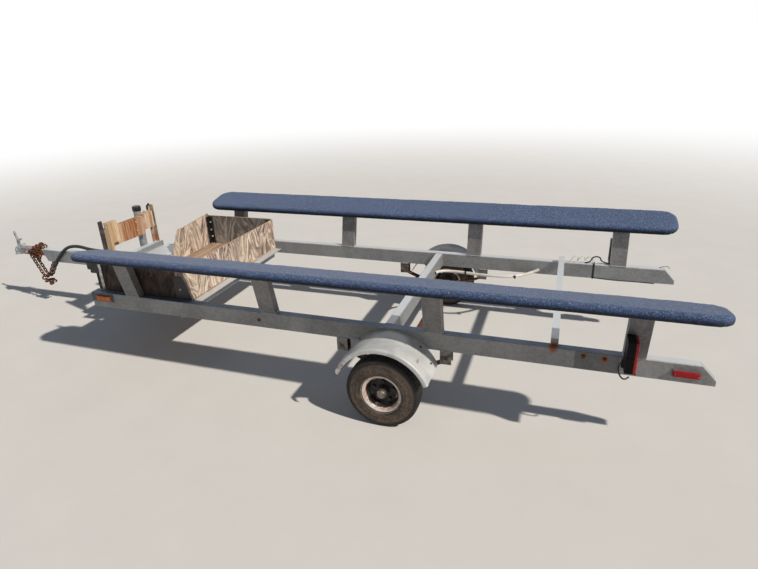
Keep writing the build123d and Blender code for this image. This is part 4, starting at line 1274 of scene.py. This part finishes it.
def layWelds():
    shape = bmesh.new()
    top = railHigh.z
    low = railLow.z
    outer = railHigh.y
    inner = outer - seams["postHalf"]
    half = tongueHigh.y
    runs = []
    for x in seams["posts"]:
        ends = (x - seams["postHalf"], x + seams["postHalf"])
        for y in (inner, outer):
            runs.append(((ends[0], y, top), (ends[1], y, top)))
        for end in ends:
            runs.append(((end, inner, top), (end, outer, top)))
    for name in seams["tubes"]:
        x0, x1 = (corner.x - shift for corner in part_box(name))
        z0, z1 = (corner.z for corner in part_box(name))
        z1 = min(z1, top)
        for x in (x0, x1):
            runs.append(((x, inner, z0), (x, inner, z1)))
        runs.append(((x0, inner, z1), (x1, inner, z1)))
    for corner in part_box("crossmember_front"):
        runs.append(((corner.x - shift, half, low), (corner.x - shift, half, top)))
    runs += seams["bowStop"]
    for x in seams["hangers"]:
        for y in seams["hangerSides"]:
            runs.append(((x - seams["hangerHalf"], y, low), (x + seams["hangerHalf"], y, low)))
    for (x0, y0, z0), (x1, y1, z1) in runs:
        for side in (1, -1):
            weldBead(shape, spot(x0, side * y0, z0), spot(x1, side * y1, z1))
    addPiece("weldBeads", shape, "weld", crease=80)


# Bright strip nailed down the front end of the bin's left wall
strip = {"low": (2.017, 0.6096, 0.498), "high": (2.0405, 0.6128, 0.688), "ease": 0.0008}


def nailStrip():
    shape = bmesh.new()
    easedBlock(shape, spot(*strip["low"]), spot(*strip["high"]), strip["ease"])
    screwWood(shape, "strip")
    addPiece("wallStrip", shape, "bolt")


# Hooks of the safety chains: S-shaped rods in two rusty bunches, one laid over the tongue
hooks = {
    "rod": 0.0062,
    "rows": [
        ((3.345, 0.004, 0.505), 0.03, (86, 12, 30)), ((3.322, -0.012, 0.51), 0.028, (76, -18, 100)),
        ((3.296, 0.012, 0.512), 0.03, (68, 20, 160)), ((3.268, -0.006, 0.509), 0.028, (95, 8, 60)),
        ((3.282, 0.008, 0.528), 0.026, (70, 30, 20)), ((3.338, 0.038, 0.48), 0.028, (20, 80, 10)),
        ((3.31, 0.038, 0.468), 0.03, (10, 60, 60)), ((3.282, 0.038, 0.474), 0.026, (0, 20, 30)),
        ((3.376, 0.038, 0.462), 0.03, (0, 95, 0)), ((3.334, 0.04, 0.44), 0.027, (0, 70, 80)),
        ((3.314, 0.041, 0.425), 0.028, (10, 50, 40)), ((3.296, 0.04, 0.44), 0.026, (20, 100, 0)),
        ((3.32, 0.024, 0.222), 0.028, (0, 40, 20)), ((3.302, -0.012, 0.208), 0.028, (30, 100, 60)),
        ((3.284, 0.022, 0.202), 0.03, (10, 70, 120)), ((3.266, 0.006, 0.212), 0.026, (80, 30, 10)),
        ((3.25, 0.014, 0.196), 0.028, (50, -40, 100)),
    ],
}


def hangHooks():
    curl = []
    for step in range(13):
        angle = math.radians(205 - step * 24.6)
        curl.append((math.cos(angle), 1 + math.sin(angle)))
    curl += [(-x, -z) for x, z in reversed(curl[:-1])]
    radii = [hooks["rod"]] * len(curl)
    radii[0] = radii[-1] = hooks["rod"] * 0.6
    shape = bmesh.new()
    for place, size, turns in hooks["rows"]:
        turn = Matrix.Translation(spot(*place))
        for angle, letter in zip(turns, "XYZ"):
            turn = turn @ Matrix.Rotation(math.radians(angle), 4, letter)
        points = [turn @ Vector((u * size / 2, 0, v * size / 2)) for u, v in curl]
        pipe(shape, points, radii, 8)
    addPiece("chainHooks", shape, "hooks", crease=70)


wires = [
    ("conduit", "conduit", 0.021, [
        (0.001, -0.367, 0.43), (-0.006, -0.42, 0.42), (-0.011, -0.481, 0.402), (-0.062, -0.512, 0.398),
        (-0.176, -0.512, 0.396), (-0.301, -0.486, 0.398), (-0.453, -0.485, 0.4), (-0.516, -0.5, 0.4),
        (-0.596, -0.549, 0.4), (-0.66, -0.596, 0.41), (-0.7, -0.609, 0.43),
    ]),
    ("lampLoop", "wire", 0.008, [
        (-1.175, 0.672, 0.5), (-1.158, 0.68, 0.488), (-1.142, 0.684, 0.44), (-1.16, 0.682, 0.392),
        (-1.185, 0.674, 0.376), (-1.2, 0.66, 0.388),
    ]),
    ("railLoop", "wire", 0.009, [
        (-1.0, -0.63, 0.498), (-1.035, -0.626, 0.503), (-1.045, -0.62, 0.548), (-1.095, -0.622, 0.552),
        (-1.105, -0.63, 0.51), (-1.16, -0.64, 0.5),
    ]),
    ("curlyOne", "conduit", 0.0045, [
        (-0.9, -0.62, 0.498), (-0.92, -0.61, 0.55), (-0.96, -0.62, 0.545), (-0.945, -0.63, 0.5),
        (-0.965, -0.61, 0.54), (-1.0, -0.62, 0.555), (-0.995, -0.63, 0.505), (-1.02, -0.62, 0.55),
        (-1.05, -0.63, 0.54), (-1.055, -0.63, 0.498),
    ]),
    ("railCable", "wire", 0.006, [
        (-1.06, -0.606, 0.4), (-1.2, -0.606, 0.392), (-1.33, -0.607, 0.396), (-1.45, -0.608, 0.392),
    ]),
    ("endCurl", "wire", 0.0035, [
        (-1.47, -0.64, 0.497), (-1.49, -0.63, 0.514), (-1.505, -0.645, 0.503), (-1.52, -0.63, 0.518),
        (-1.53, -0.64, 0.497),
    ]),
]
# Tape round the right rail, and round the conduit
tapes = {
    "railLow": (-1.066, -0.6624, railLow.z - 0.002),
    "railHigh": (-1.053, -0.6076, railHigh.z + 0.002),
    "railEase": 0.0015,
    "conduit": [(-0.2, -0.5, 0.398), (-0.55, -0.5, 0.398)],
    "conduitTape": [(0, 0.012), (0.012, 0.012)],
}


def runWires():
    for name, finish, thick, points in wires:
        wire(name, [spot(*point) for point in points], thick, finish)
    shape = bmesh.new()
    easedBlock(shape, spot(*tapes["railLow"]), spot(*tapes["railHigh"]), tapes["railEase"])
    for place in tapes["conduit"]:
        turned(shape, spot(*place), ways["+X"], tapes["conduitTape"], 16)
    addPiece("wireTapes", shape, "wire")


fitBolts()
fitScrews()
layWelds()
nailStrip()
hangHooks()
runWires()
print("bolts, welds, hooks and wires ready")
